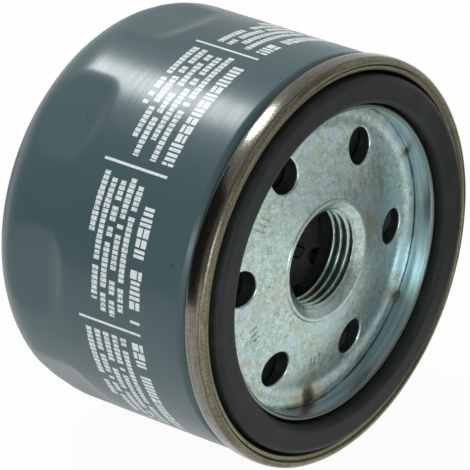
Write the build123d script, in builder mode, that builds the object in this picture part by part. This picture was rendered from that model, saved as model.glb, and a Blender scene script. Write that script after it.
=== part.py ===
from build123d import *
import os
from math import cos, radians, sin, tan

os.makedirs("parts", exist_ok=True)

# Spin-on oil filter for a small engine, lying on its side.
# X runs along the axis and points out of the open end, Z points up, and the origin is
# the middle of the gasket's sealing face. Lengths are millimetres. A profile is drawn
# with X along the axis and Y as the radius, and is turned round the X axis.

# ---------------------------------------------------------------- driving dimensions
# overall
can_radius = 37.3             # painted wall
can_length = 53.1             # seam front to closed end
corner_radius = 11.1          # round corner at the closed end
gasket_proud = 1.2            # how far the gasket stands out of the seam
can_sheet = 0.5
lid_sheet = 0.6
layer_gap = 0.05              # between touching layers of sheet
soft_gap = 0.05               # between a soft or sprung piece and what it touches
cutter_margin = 2.0           # how far a cutter runs past what it cuts

# rolled seam
seam_proud = 0.7              # seam stands out from the painted wall
seam_length = 4.5
seam_slope = 0.8              # how far the crest falls towards the axis
seam_crest_bend = 0.8
seam_lip_bend = 0.6
hook_overlap = 1.9
hook_pocket = 0.4             # free space past the end of each hook
hook_clearance = 0.2
hook_bend = 0.5
compound_length = 0.3
neck_length = 1.4             # shoulder from the wall down to the seam
neck_bend = 0.7
neck_lap = 1.0                # straight run where the neck joins the wall
bend_spare = 0.01             # keeps the middle of a tight fold straight

# wrench flats at the closed end
flat_count = 8
flat_phase = -1.2             # degrees from +Y to the first flat
flat_half_angle = 13.5        # degrees, half the width of a flat on the wall
flat_length = 20.2            # closed end to the top of the ramp
flat_ramp = 3.9               # curved rise from the flat to the wall
end_panel_radius = 15.0       # shallow stiffening panel in the closed end
end_panel_depth = 0.8
end_panel_slope = 1.0
end_panel_bend = 0.6

# standard thread, 3/4-16 UNF
thread_major_radius = 19.05 / 2
thread_pitch = 25.4 / 16
thread_count = 4              # full crests in the hub

# base plate
plate_sheet = 2.5
plate_drop = 4.9              # seam front to the plate under the gasket
plate_clearance = 0.65        # round the plate, inside the neck of the can
plate_edge = 0.4
channel_edge = 0.3
groove_outer_radius = 27.3    # faint groove of the plate inside the bead
groove_depth = 0.4
groove_bend = 4.0
dome_margin = 0.6             # inlets to the groove at the foot of the dome
dome_height = 1.95
coin_width = 2.2              # thread to the outside of the raised ring
coin_height = 0.3
coin_slope = 0.2
countersink_width = 0.575
countersink_depth = 0.55
collar_wall = 2.475           # hub collar outside the thread
collar_root = 0.3             # rounding where the collar leaves the plate
collar_lead = 0.3
inlet_count = 6
inlet_radius = 3.3
inlet_pitch_radius = 21.25
inlet_phase = 56.4            # degrees from +Y to the first inlet hole
inlet_edge = 0.35             # rounding of the inlet's front edge

# gasket, and the channel and bead that hold it
gasket_width = 5.2
gasket_edge = 1.3
gasket_back_edge = 0.3
gasket_outer_clearance = 0.15
gasket_inner_clearance = 0.1
channel_bend = 0.6
bead_foot_bend = 0.5
bead_drop = 0.8               # seam front to the top of the bead
hem_gap = 0.1                 # between the two legs of the folded bead
hem_foot = 0.7                # bead's inner leg stops short of the plate
weld_arc = 7.0                # degrees covered by one weld
weld_width = 1.2
weld_edge = 0.2

# anti-drainback valve
valve_clearance = 0.1         # round the hub collar
valve_sleeve = 1.6
valve_sheet = 0.8
valve_lip_margin = 0.25       # lip outside the inlets
valve_lip_width = 2.2
valve_lip_taper = 1.0
valve_lip_step = 0.2
rubber_edge = 0.3
rubber_crease = 0.1
valve_spring_sheet = 0.25
valve_spring_lead = 0.6       # spring's inner edge to the collar
valve_spring_ledge = 2.2
valve_spring_bend = 0.4
finger_count = 8
finger_radius = 20.0
finger_tip = 1.2
finger_root = 0.4
grommet_thickness = 1.8
grommet_margin = 0.275        # grommet's bore outside the thread
grommet_wall = 0.8
grommet_lip = 0.4

# filter element
cap_sheet = 0.5
cap_clearance = 2.6           # end caps to the inside of the wrench flats
cap_rim = 3.5
cap_bend = 0.6
adhesive_depth = 1.45
adhesive_edge = 0.3
tube_radius = 14.9
tube_sheet = 0.5
tube_row_pitch = 4.2
tube_columns = 12
tube_hole_radius = 1.6
pleat_count = 46
pleat_tip_clearance = 1.1
pleat_root_clearance = 0.65
pleat_tip_width = 1.5
pleat_root_width = 0.8
paper = 0.5
clip_sheet = 0.4
clip_reach = 4.5
clip_margin = 1.0

# bypass valve in the rear end cap
bypass_port_radius = 6.75
bypass_port_bend = 0.5
bypass_seat_height = 1.15
bypass_seal_lap = 2.25        # seal outside the port
bypass_seal_thickness = 1.0
bypass_seal_edge = 0.2
bypass_disc_lap = 0.4         # disc outside the seal
bypass_disc_thickness = 0.8
bypass_stem_radius = 2.0
bypass_stem_lead = 0.4
bypass_stem_proud = 1.0
bypass_running_gap = 0.08
bypass_travel = 3.0
bypass_wire = 0.8
bypass_coil_radius = 5.0
bypass_turns = 3.5
bypass_spare = 0.5            # left between the turns when the valve is fully open
cage_wall_margin = 1.2        # cage outside the disc
cage_sheet = 0.55
cage_foot_bend = 0.5
cage_top_bend = 0.8
cage_flange_clearance = 0.2   # flange inside the centre tube
window_count = 4
window_width = 8.0
window_length = 5.0
window_lift = 0.6

# spring between the element and the closed end
hold_height = 7.8
hold_sheet = 0.6
hold_inner_radius = 12.0
hold_seat_radius = 17.0
hold_seat_lap = 1.0
hold_foot_margin = 0.2        # foot inside the round corner
hold_foot_width = 3.0
hold_bend = 1.0
hold_leg_count = 4
hold_leg_angle = 34.0         # degrees covered by one leg

# ---------------------------------------------------------------- places worked out from them
seam_front = -gasket_proud
seam_back = seam_front - seam_length
seam_radius = can_radius + seam_proud
end_outer = seam_front - can_length
end_inner = end_outer + can_sheet
plate_front = seam_front - plate_drop
plate_back = plate_front - plate_sheet
floor_front = plate_front + lid_sheet
bead_top = seam_front - bead_drop

# the five layers of the seam, as the radius of the middle of each sheet
layer_step = (lid_sheet + can_sheet) / 2 + layer_gap
lid_outer_layer = seam_radius - lid_sheet / 2
can_hook_layer = lid_outer_layer - layer_step
lid_hook_layer = can_hook_layer - layer_step
can_neck_layer = lid_hook_layer - layer_step
lid_wall_layer = can_neck_layer - layer_step

# the hub and what seats on it
thread_minor_radius = thread_major_radius - 0.541266 * thread_pitch
thread_crest = thread_pitch / 4
thread_root = thread_pitch / 8
collar_radius = thread_major_radius + collar_wall
coin_radius = thread_major_radius + coin_width
countersink_radius = thread_major_radius + countersink_width
dome_inner_radius = coin_radius + coin_slope
dome_outer_radius = inlet_pitch_radius + inlet_radius + dome_margin
hub_face = plate_front + dome_height + coin_height
countersink_back = hub_face - coin_height - countersink_depth
first_crest = countersink_back - thread_crest / 2
collar_back = first_crest - (thread_count - 0.5) * thread_pitch

# the element, from the hub back to the spring that holds it
grommet_front = collar_back - layer_gap
grommet_back = grommet_front - grommet_thickness
front_cap_face = grommet_back - layer_gap
front_cap_inner = front_cap_face - cap_sheet
rear_cap_face = end_inner + hold_height
rear_cap_inner = rear_cap_face + cap_sheet
media_front = front_cap_inner - adhesive_depth - 2 * soft_gap
media_back = rear_cap_inner + adhesive_depth + 2 * soft_gap

# a plane across the axis, on which angles run from +Y towards +Z
across = Plane(origin=(0, 0, 0), x_dir=(0, 1, 0), z_dir=(1, 0, 0))


# ---------------------------------------------------------------- shared ways of making a piece
def sheet_profile(points, radii, thickness):
    """Section of a bent sheet: its middle line with rounded corners, widened to the sheet."""
    with BuildSketch(Plane.XY) as section:
        with BuildLine():
            FilletPolyline(points, radius=radii)
        trace(line_width=thickness)
    return section.sketch


def ring_profile(back, front, inner, outer):
    """Section of a plain ring between two places on the axis and two radii."""
    with BuildSketch(Plane.XY) as section:
        with Locations(((back + front) / 2, (inner + outer) / 2)):
            Rectangle(front - back, outer - inner)
    return section.sketch


def filled_profile(points, radii):
    """Closed section whose corners are rounded, one radius for each corner."""
    with BuildSketch(Plane.XY) as section:
        with BuildLine():
            FilletPolyline(points, radius=radii, close=True)
        make_face()
    return section.sketch


def finish(piece, name):
    """Label a finished piece and write its file."""
    piece.part.label = name
    export_step(piece.part, f"parts/{name}.step")


# ---------------------------------------------------------------- can
flat_distance = can_radius * cos(radians(flat_half_angle))
neck_back = seam_back - layer_gap - can_sheet / 2 - neck_length
shell_front = neck_back - neck_lap


def flat_cutters(inset):
    """Eight prisms outside the wrench flats, each ending in an arc that rises to the wall."""
    ramp_top = end_outer + flat_length
    beyond_end = end_outer - cutter_margin
    beyond_wall = can_radius + cutter_margin
    with BuildPart() as prism:
        with BuildSketch(Plane.XY):
            with BuildLine():
                ramp = TangentArc(
                    (ramp_top - flat_ramp, flat_distance - inset),
                    (ramp_top, can_radius - inset),
                    tangent=(1, 0),
                )
                Polyline(
                    ramp @ 1,
                    (ramp_top, beyond_wall),
                    (beyond_end, beyond_wall),
                    (beyond_end, flat_distance - inset),
                    ramp @ 0,
                )
            make_face()
        extrude(amount=can_radius * sin(radians(180 / flat_count)), both=True)
    return [
        prism.part.rotate(Axis.X, flat_phase + 360 / flat_count * step)
        for step in range(flat_count)
    ]


def can_outline(inset):
    """Closed half section of the can from the neck to the closed end, inset by the sheet."""
    panel_radius = end_panel_radius - inset
    end = end_outer + inset
    return filled_profile(
        [
            (shell_front, 0),
            (shell_front, can_radius - inset),
            (end, can_radius - inset),
            (end, panel_radius + end_panel_slope),
            (end + end_panel_depth, panel_radius),
            (end + end_panel_depth, 0),
        ],
        [0, 0, corner_radius - inset, end_panel_bend, end_panel_bend, 0],
    )


with BuildPart() as can_hollow:
    add(can_outline(can_sheet))
    revolve(axis=Axis.X)
    add(flat_cutters(can_sheet), mode=Mode.SUBTRACT)

can_wall_layer = can_radius - can_sheet / 2
hook_end = seam_back + lid_sheet + hook_pocket
hook_top = seam_front - lid_sheet - 2 * layer_gap - can_sheet / 2 - hook_clearance
hook_fall = seam_slope * (can_hook_layer - can_neck_layer) / (lid_outer_layer - lid_wall_layer)
with BuildPart() as can:
    add(can_outline(0))
    revolve(axis=Axis.X)
    add(flat_cutters(0), mode=Mode.SUBTRACT)
    add(can_hollow.part, mode=Mode.SUBTRACT)
    neck_section = sheet_profile(
        [
            (hook_end, can_hook_layer),
            (hook_top, can_hook_layer),
            (hook_top - hook_fall, can_neck_layer),
            (neck_back + neck_length, can_neck_layer),
            (neck_back, can_wall_layer),
            (shell_front, can_wall_layer),
        ],
        [hook_bend, hook_bend, neck_bend, neck_bend],
        can_sheet,
    )
    revolve(neck_section, axis=Axis.X)
finish(can, "can")

# ---------------------------------------------------------------- gasket retainer
gasket_outer_radius = lid_wall_layer - lid_sheet / 2 - gasket_outer_clearance
gasket_inner_radius = gasket_outer_radius - gasket_width
bead_outer_layer = gasket_inner_radius - gasket_inner_clearance - lid_sheet / 2
bead_inner_layer = bead_outer_layer - lid_sheet - hem_gap
lid_hook_end = seam_back + lid_sheet / 2 + hook_overlap
lid_hook_bend = layer_step - bend_spare
bead_top_bend = (lid_sheet + hem_gap) / 2 - bend_spare
with BuildPart() as gasket_retainer:
    lid_section = sheet_profile(
        [
            (lid_hook_end, lid_hook_layer),
            (seam_back + lid_sheet / 2, lid_hook_layer),
            (seam_back + lid_sheet / 2, lid_outer_layer),
            (seam_front - lid_sheet / 2, lid_outer_layer),
            (seam_front - lid_sheet / 2 - seam_slope, lid_wall_layer),
            (floor_front - lid_sheet / 2, lid_wall_layer),
            (floor_front - lid_sheet / 2, bead_outer_layer),
            (bead_top - lid_sheet / 2, bead_outer_layer),
            (bead_top - lid_sheet / 2, bead_inner_layer),
            (plate_front + hem_foot, bead_inner_layer),
        ],
        [
            lid_hook_bend,
            lid_hook_bend,
            seam_crest_bend,
            seam_lip_bend,
            channel_bend,
            bead_foot_bend,
            bead_top_bend,
            bead_top_bend,
        ],
        lid_sheet,
    )
    revolve(lid_section, axis=Axis.X)
finish(gasket_retainer, "gasket_retainer")

# sealing compound squeezed between the two hooks of the seam
compound_back = lid_hook_end + layer_gap
with BuildPart() as seam_compound:
    compound_section = ring_profile(
        compound_back,
        compound_back + compound_length,
        lid_hook_layer - lid_sheet / 2,
        lid_hook_layer + lid_sheet / 2,
    )
    revolve(compound_section, axis=Axis.X)
finish(seam_compound, "seam_compound")

# ---------------------------------------------------------------- base plate
plate_radius = can_neck_layer - can_sheet / 2 - plate_clearance
groove_half = thread_pitch / 2 - thread_crest / 2
with BuildPart() as base_plate:
    plate_section = filled_profile(
        [
            (plate_back, collar_radius),
            (plate_back, plate_radius),
            (plate_front, plate_radius),
            (plate_front, groove_outer_radius),
            (plate_front - groove_depth, dome_outer_radius),
            (plate_front + dome_height, dome_inner_radius),
            (hub_face, coin_radius),
            (hub_face, countersink_radius + coin_slope),
            (hub_face - coin_height, countersink_radius),
            (countersink_back, thread_minor_radius),
            (collar_back, thread_minor_radius),
            (collar_back, collar_radius),
        ],
        [
            collar_root,
            plate_edge,
            channel_edge,
            groove_bend,
            groove_bend,
            0,
            0,
            0,
            0,
            0,
            collar_lead,
            collar_lead,
        ],
    )
    revolve(plate_section, axis=Axis.X)
    with BuildSketch(across.offset(plate_front + dome_height)):
        with PolarLocations(inlet_pitch_radius, inlet_count, start_angle=inlet_phase):
            Circle(inlet_radius)
    extrude(amount=-(dome_height + plate_sheet + cutter_margin), mode=Mode.SUBTRACT)
    inlet_walls = base_plate.faces().filter_by(
        lambda face: face.geom_type == GeomType.CYLINDER
        and abs(face.radius - inlet_radius) < layer_gap
    )
    inlet_mouths = inlet_walls.edges().filter_by(
        lambda edge: edge.geom_type != GeomType.LINE
        and edge.center().X > (plate_front + plate_back) / 2
    )
    fillet(inlet_mouths, inlet_edge)
    for turn in range(thread_count - 1):
        groove_middle = first_crest - thread_pitch * (turn + 0.5)
        with BuildSketch(Plane.XY):
            with BuildLine():
                Polyline(
                    (groove_middle - groove_half, thread_minor_radius),
                    (groove_middle - thread_root / 2, thread_major_radius),
                    (groove_middle + thread_root / 2, thread_major_radius),
                    (groove_middle + groove_half, thread_minor_radius),
                    (groove_middle, thread_minor_radius - thread_crest),
                    close=True,
                )
            make_face()
        revolve(axis=Axis.X, mode=Mode.SUBTRACT)
finish(base_plate, "base_plate")

# welds between the foot of the bead and the plate, midway between the inlets
weld_radius = bead_inner_layer + lid_sheet / 2 - weld_width / 2
with BuildPart() as weld_spots:
    with BuildSketch(across.offset(plate_front)):
        with PolarLocations(weld_radius, inlet_count, start_angle=inlet_phase - 180 / inlet_count):
            SlotCenterToCenter(2 * weld_radius * sin(radians(weld_arc / 2)), weld_width, rotation=90)
    extrude(amount=hem_foot - layer_gap)
    weld_tops = weld_spots.faces().filter_by(Axis.X).group_by(Axis.X)[-1]
    fillet(weld_tops.edges(), weld_edge)
finish(weld_spots, "weld_spots")

# ---------------------------------------------------------------- gasket
gasket_back = floor_front + layer_gap
with BuildPart() as gasket:
    gasket_section = filled_profile(
        [
            (gasket_back, gasket_inner_radius),
            (gasket_back, gasket_outer_radius),
            (0, gasket_outer_radius),
            (0, gasket_inner_radius),
        ],
        [gasket_back_edge, gasket_back_edge, gasket_edge, gasket_edge],
    )
    revolve(gasket_section, axis=Axis.X)
finish(gasket, "gasket")

# ---------------------------------------------------------------- anti-drainback valve
sleeve_inner = collar_radius + valve_clearance
sleeve_outer = sleeve_inner + valve_sleeve
sleeve_front = plate_back - 2 * valve_clearance
web_back = sleeve_front - valve_sleeve
web_front = web_back + valve_sheet
lip_front = plate_back - soft_gap
lip_inner = inlet_pitch_radius + inlet_radius + valve_lip_margin
lip_outer = lip_inner + valve_lip_width
with BuildPart() as drainback_valve:
    valve_section = filled_profile(
        [
            (web_back, sleeve_inner),
            (sleeve_front, sleeve_inner),
            (sleeve_front, sleeve_outer),
            (web_front, sleeve_outer),
            (web_front, lip_inner - valve_lip_taper),
            (lip_front, lip_inner),
            (lip_front, lip_outer),
            (web_back + valve_lip_step, lip_outer),
            (web_back, lip_inner),
        ],
        [
            rubber_crease,
            rubber_edge,
            rubber_edge,
            rubber_edge,
            rubber_edge,
            rubber_edge,
            rubber_edge,
            rubber_edge,
            rubber_edge,
        ],
    )
    revolve(valve_section, axis=Axis.X)
finish(drainback_valve, "drainback_valve")

# slotted ring that keeps the valve shut, its inner edge on the element
spring_back = front_cap_face + soft_gap + valve_spring_sheet / 2
spring_front = web_back - soft_gap - valve_spring_sheet / 2
spring_inner = collar_radius + valve_spring_lead
spring_ledge = spring_inner + valve_spring_ledge
slot_inner = spring_ledge + finger_root
slot_length = finger_radius + cutter_margin - slot_inner
with BuildPart() as drainback_spring:
    finger_section = sheet_profile(
        [
            (spring_back, spring_inner),
            (spring_back, spring_ledge),
            (spring_front, finger_radius - finger_tip),
            (spring_front, finger_radius),
        ],
        [valve_spring_bend, valve_spring_bend],
        valve_spring_sheet,
    )
    revolve(finger_section, axis=Axis.X)
    with BuildSketch(across.offset(spring_back - cutter_margin)):
        with PolarLocations(slot_inner + slot_length / 2, finger_count):
            Rectangle(slot_length, spring_inner / finger_count * 2)
    extrude(amount=spring_front - spring_back + 2 * cutter_margin, mode=Mode.SUBTRACT)
finish(drainback_spring, "drainback_spring")

# rubber ring between the hub and the element, with a lip through the element's mouth
grommet_inner = thread_major_radius + grommet_margin
grommet_outer = collar_radius - valve_clearance
port_radius = grommet_inner + grommet_wall
with BuildPart() as element_grommet:
    grommet_section = filled_profile(
        [
            (grommet_back, port_radius - soft_gap),
            (grommet_back, grommet_outer),
            (grommet_front, grommet_outer),
            (grommet_front, grommet_inner),
            (front_cap_inner - grommet_lip, grommet_inner),
            (front_cap_inner - grommet_lip, port_radius - soft_gap),
        ],
        [0, rubber_edge, rubber_edge, rubber_edge, rubber_crease, rubber_crease],
    )
    revolve(grommet_section, axis=Axis.X)
finish(element_grommet, "element_grommet")

# ---------------------------------------------------------------- filter element
cap_radius = flat_distance - can_sheet - cap_clearance
cap_layer = cap_radius - cap_sheet / 2
with BuildPart() as front_end_cap:
    front_section = sheet_profile(
        [
            (front_cap_face - cap_sheet / 2, port_radius),
            (front_cap_face - cap_sheet / 2, cap_layer),
            (front_cap_face - cap_rim, cap_layer),
        ],
        [cap_bend],
        cap_sheet,
    )
    revolve(front_section, axis=Axis.X)
finish(front_end_cap, "front_end_cap")

seat_edge = rear_cap_inner + bypass_seat_height - cap_sheet / 2
with BuildPart() as rear_end_cap:
    rear_section = sheet_profile(
        [
            (seat_edge, bypass_port_radius),
            (rear_cap_face + cap_sheet / 2, bypass_port_radius),
            (rear_cap_face + cap_sheet / 2, cap_layer),
            (rear_cap_face + cap_rim, cap_layer),
        ],
        [bypass_port_bend, cap_bend],
        cap_sheet,
    )
    revolve(rear_section, axis=Axis.X)
finish(rear_end_cap, "rear_end_cap")

tube_front = front_cap_inner - soft_gap
tube_back = rear_cap_inner + soft_gap
hole_span = media_front - media_back
row_count = int(hole_span / tube_row_pitch)
with BuildPart() as center_tube:
    revolve(ring_profile(tube_back, tube_front, tube_radius - tube_sheet, tube_radius), axis=Axis.X)
    with Locations(((media_front + media_back) / 2, 0, 0)):
        for column in range(tube_columns // 2):
            with Locations(Location((0, 0, 0), (360 / tube_columns * column, 0, 0))):
                with GridLocations(hole_span / row_count, 1, row_count, 1):
                    Cylinder(
                        tube_hole_radius, 2 * tube_radius + cutter_margin, mode=Mode.SUBTRACT
                    )
finish(center_tube, "center_tube")

adhesive_outer = cap_radius - cap_sheet - soft_gap
adhesive_inner = tube_radius + soft_gap
for adhesive_name, adhesive_back in (
    ("front_adhesive", front_cap_inner - soft_gap - adhesive_depth),
    ("rear_adhesive", rear_cap_inner + soft_gap),
):
    with BuildPart() as adhesive:
        adhesive_section = ring_profile(
            adhesive_back, adhesive_back + adhesive_depth, adhesive_inner, adhesive_outer
        )
        revolve(adhesive_section, axis=Axis.X)
        outer_edges = adhesive.edges().filter_by(GeomType.CIRCLE).group_by(SortBy.RADIUS)[-1]
        fillet(outer_edges, adhesive_edge)
    finish(adhesive, adhesive_name)

pleat_tip_radius = cap_radius - cap_sheet - pleat_tip_clearance
pleat_root_radius = tube_radius + pleat_root_clearance


def pleat_corner(radius, sideways, step):
    """Corner of a pleat: a radius, a distance sideways and the pleat's number."""
    turn = radians(360 / pleat_count * step)
    return (
        radius * cos(turn) - sideways * sin(turn),
        radius * sin(turn) + sideways * cos(turn),
    )


pleat_corners = []
for pleat in range(pleat_count):
    pleat_corners += [
        pleat_corner(pleat_root_radius, -pleat_root_width / 2, pleat),
        pleat_corner(pleat_root_radius, pleat_root_width / 2, pleat),
        pleat_corner(pleat_tip_radius, -pleat_tip_width / 2, pleat + 0.5),
        pleat_corner(pleat_tip_radius, pleat_tip_width / 2, pleat + 0.5),
    ]
with BuildPart() as pleated_media:
    with BuildSketch(across.offset(media_back)):
        with BuildLine():
            Polyline(pleat_corners, close=True)
        make_face()
        offset(amount=-paper, kind=Kind.INTERSECTION, mode=Mode.SUBTRACT)
    extrude(amount=media_front - media_back)
finish(pleated_media, "pleated_media")

# metal channel pinched over the two ends of the paper, on the tip of the first pleat
clip_half = pleat_tip_width / 2 + soft_gap
clip_outer = pleat_tip_radius + soft_gap
clip_turn = 180 / pleat_count
with BuildPart() as media_seam_clip:
    with BuildSketch(across.offset(media_back + clip_margin)):
        with PolarLocations(clip_outer + clip_sheet - clip_reach / 2, 1, start_angle=clip_turn):
            Rectangle(clip_reach, 2 * (clip_half + clip_sheet))
        with PolarLocations(clip_outer - clip_reach / 2, 1, start_angle=clip_turn):
            Rectangle(clip_reach, 2 * clip_half, mode=Mode.SUBTRACT)
    extrude(amount=media_front - media_back - 2 * clip_margin)
finish(media_seam_clip, "media_seam_clip")

# ---------------------------------------------------------------- bypass valve
seal_back = seat_edge + soft_gap
disc_back = seal_back + bypass_seal_thickness
disc_front = disc_back + bypass_disc_thickness
bypass_seal_radius = bypass_port_radius + bypass_seal_lap
bypass_disc_radius = bypass_seal_radius + bypass_disc_lap
spring_room = (bypass_turns + 1) * bypass_wire + bypass_travel + bypass_spare
cage_back = rear_cap_inner + soft_gap
cage_front = disc_front + spring_room
cage_layer = bypass_disc_radius + cage_wall_margin - cage_sheet / 2
stem_front = cage_front + cage_sheet + bypass_stem_proud
with BuildPart() as bypass_valve_body:
    cage_section = sheet_profile(
        [
            (cage_back + cage_sheet / 2, tube_radius - tube_sheet - cage_flange_clearance),
            (cage_back + cage_sheet / 2, cage_layer),
            (cage_front + cage_sheet / 2, cage_layer),
            (cage_front + cage_sheet / 2, bypass_stem_radius + bypass_running_gap),
        ],
        [cage_foot_bend, cage_top_bend],
        cage_sheet,
    )
    revolve(cage_section, axis=Axis.X)
    with Locations(((cage_back + cage_front) / 2 + window_lift, 0, 0)):
        for window in range(window_count // 2):
            with Locations(Location((0, 0, 0), (360 / window_count * window, 0, 0))):
                Box(
                    window_length,
                    window_width,
                    2 * (cage_layer + cutter_margin),
                    mode=Mode.SUBTRACT,
                )
finish(bypass_valve_body, "bypass_valve_body")

with BuildPart() as bypass_poppet:
    revolve(ring_profile(disc_back, disc_front, 0, bypass_disc_radius), axis=Axis.X)
    revolve(ring_profile(seal_back, stem_front, 0, bypass_stem_radius), axis=Axis.X)
    stem_tip = bypass_poppet.edges().filter_by(GeomType.CIRCLE).group_by(Axis.X)[-1]
    chamfer(stem_tip, bypass_stem_lead)
finish(bypass_poppet, "bypass_poppet")

with BuildPart() as bypass_seal:
    seal_section = ring_profile(
        seal_back, disc_back - layer_gap, bypass_stem_radius + soft_gap, bypass_seal_radius
    )
    revolve(seal_section, axis=Axis.X)
    seal_rims = bypass_seal.edges().filter_by(GeomType.CIRCLE).group_by(SortBy.RADIUS)[-1]
    fillet(seal_rims, bypass_seal_edge)
finish(bypass_seal, "bypass_seal")

coil_back = disc_front + bypass_wire / 2 + soft_gap
coil_front = cage_front - bypass_wire / 2 - soft_gap
coil_height = coil_front - coil_back
with BuildPart() as bypass_spring:
    with BuildLine() as coil_path:
        Helix(
            pitch=coil_height / bypass_turns,
            height=coil_height,
            radius=bypass_coil_radius,
            center=(coil_back, 0, 0),
            direction=(1, 0, 0),
        )
    with BuildSketch(coil_path.line ^ 0):
        Circle(bypass_wire / 2)
    sweep(is_frenet=True)
finish(bypass_spring, "bypass_spring")

# ---------------------------------------------------------------- spring behind the element
hold_front = rear_cap_face - soft_gap - hold_sheet / 2
hold_back = end_inner + soft_gap + hold_sheet / 2
hold_foot_radius = can_radius - corner_radius - hold_foot_margin
gap_reach = hold_foot_radius + hold_foot_width
gap_half = gap_reach * tan(radians(180 / hold_leg_count - hold_leg_angle / 2))
with BuildPart() as hold_down_spring:
    hold_section = sheet_profile(
        [
            (hold_front, hold_inner_radius),
            (hold_front, hold_seat_radius),
            (hold_back, hold_foot_radius - hold_foot_width),
            (hold_back, hold_foot_radius),
        ],
        [hold_bend, hold_bend],
        hold_sheet,
    )
    revolve(hold_section, axis=Axis.X)
    with BuildSketch(across.offset(hold_back - cutter_margin)):
        with PolarLocations(0, hold_leg_count, start_angle=180 / hold_leg_count):
            with BuildLine():
                Polyline((0, 0), (gap_reach, gap_half), (gap_reach, -gap_half), close=True)
            make_face()
        Circle(hold_seat_radius - hold_seat_lap, mode=Mode.SUBTRACT)
    extrude(amount=hold_front - hold_back + 2 * cutter_margin, mode=Mode.SUBTRACT)
finish(hold_down_spring, "hold_down_spring")
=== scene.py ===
"""Looks of a spin-on oil filter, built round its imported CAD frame.

The filter lies on its side with its axis along +X and the open, threaded end at +X. The classes hold
their sizes in millimetres; a mesh is scaled to metres when it is made, so every piece lies where the
frame says. Angles run from +Y towards +Z.
"""

from __future__ import annotations

import logging
import math
from dataclasses import dataclass, field
from enum import Enum
from functools import cache
from typing import Any, Callable, Union

import bmesh
import bpy
import numpy as np
from mathutils import Matrix, Vector

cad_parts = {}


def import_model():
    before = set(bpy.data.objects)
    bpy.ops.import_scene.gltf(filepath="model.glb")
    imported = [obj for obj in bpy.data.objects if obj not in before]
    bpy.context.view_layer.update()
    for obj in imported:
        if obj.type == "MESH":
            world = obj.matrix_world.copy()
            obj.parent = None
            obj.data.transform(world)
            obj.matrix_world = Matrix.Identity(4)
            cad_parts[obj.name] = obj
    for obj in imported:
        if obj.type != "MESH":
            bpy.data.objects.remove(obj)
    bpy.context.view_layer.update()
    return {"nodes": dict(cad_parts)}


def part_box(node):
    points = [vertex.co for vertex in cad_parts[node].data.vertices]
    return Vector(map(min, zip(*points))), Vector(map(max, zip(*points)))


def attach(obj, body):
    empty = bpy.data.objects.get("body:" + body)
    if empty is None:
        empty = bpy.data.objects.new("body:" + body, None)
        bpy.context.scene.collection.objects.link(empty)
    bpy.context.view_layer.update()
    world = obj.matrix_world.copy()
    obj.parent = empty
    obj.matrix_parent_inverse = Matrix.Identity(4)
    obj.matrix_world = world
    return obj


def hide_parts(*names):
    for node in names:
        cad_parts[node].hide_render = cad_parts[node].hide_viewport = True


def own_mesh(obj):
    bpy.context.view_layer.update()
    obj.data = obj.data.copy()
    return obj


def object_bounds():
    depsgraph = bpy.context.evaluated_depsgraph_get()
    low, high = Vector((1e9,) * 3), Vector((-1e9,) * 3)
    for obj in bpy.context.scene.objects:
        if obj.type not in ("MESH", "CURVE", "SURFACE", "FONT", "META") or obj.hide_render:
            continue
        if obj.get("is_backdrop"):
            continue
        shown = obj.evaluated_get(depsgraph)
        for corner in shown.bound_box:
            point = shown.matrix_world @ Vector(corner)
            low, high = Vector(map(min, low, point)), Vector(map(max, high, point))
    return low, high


MM = 0.001
MERGE = 2e-7
ON_AXIS = 1e-6
log = logging.getLogger("oil_filter")

Colour = tuple[float, float, float, float]
Points = np.ndarray
Piece = bpy.types.Object
Material = bpy.types.Material


def grey(level: float) -> Colour:
    """Neutral colour of one linear level."""
    return (level, level, level, 1.0)


# ---------------------------------------------------------------- shader maths


def operator(operation: str) -> Callable[..., Wire]:
    """Method of a wire that adds the Math node of one operation.

    Args:
        operation: the node's operation.

    Returns:
        The method.
    """

    def method(self: Wire, *others: Number) -> Wire:
        """The operation's result, with the wire as its first value."""
        return self.math(operation, *others)

    return method


class Wire:
    """An output socket of a shader tree; arithmetic on it adds the Math nodes.

    A comparison gives one where it holds and nothing elsewhere.
    """

    __add__ = __radd__ = operator("ADD")
    __mul__ = __rmul__ = operator("MULTIPLY")
    __sub__ = operator("SUBTRACT")
    __truediv__ = operator("DIVIDE")
    __pow__ = operator("POWER")
    __abs__ = operator("ABSOLUTE")
    __lt__ = operator("LESS_THAN")
    __gt__ = operator("GREATER_THAN")
    floor = operator("FLOOR")
    fract = operator("FRACT")
    larger = operator("MAXIMUM")

    def __init__(self, graph: Graph, socket: bpy.types.NodeSocket) -> None:
        """Wrap a socket of the graph that owns it."""
        self.graph = graph
        self.socket = socket

    def __rsub__(self, value: float) -> Wire:
        """A number less this wire."""
        return self.graph.add("ShaderNodeMath", {0: value, 1: self}, operation="SUBTRACT")

    def math(self, operation: str, *others: Number) -> Wire:
        """One Math node with this wire as its first value."""
        return self.graph.add("ShaderNodeMath", dict(enumerate((self, *others))), operation=operation)

    def other(self, name: str) -> Wire:
        """Another output of the node that this wire comes from."""
        return Wire(self.graph, self.socket.node.outputs[name])

    def step(self, low: float, high: float) -> Wire:
        """Smooth rise from 0 at low to 1 at high; with high under low, a smooth fall.

        Args:
            low: where the result is 0.
            high: where the result is 1.

        Returns:
            The rise, held at 0 and 1 outside.
        """
        edges, ends = ((high, low), (1.0, 0.0)) if high < low else ((low, high), (0.0, 1.0))
        values = {"Value": self, 1: edges[0], 2: edges[1], 3: ends[0], 4: ends[1]}
        return self.graph.add("ShaderNodeMapRange", values, interpolation_type="SMOOTHSTEP")

    def within(self, centre: float, half: float, soft: float) -> Wire:
        """One where this wire is less than half from centre, with an edge as wide as soft."""
        return (half - abs(self - centre)).step(-soft / 2, soft / 2)


Number = Union[Wire, float]


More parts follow.
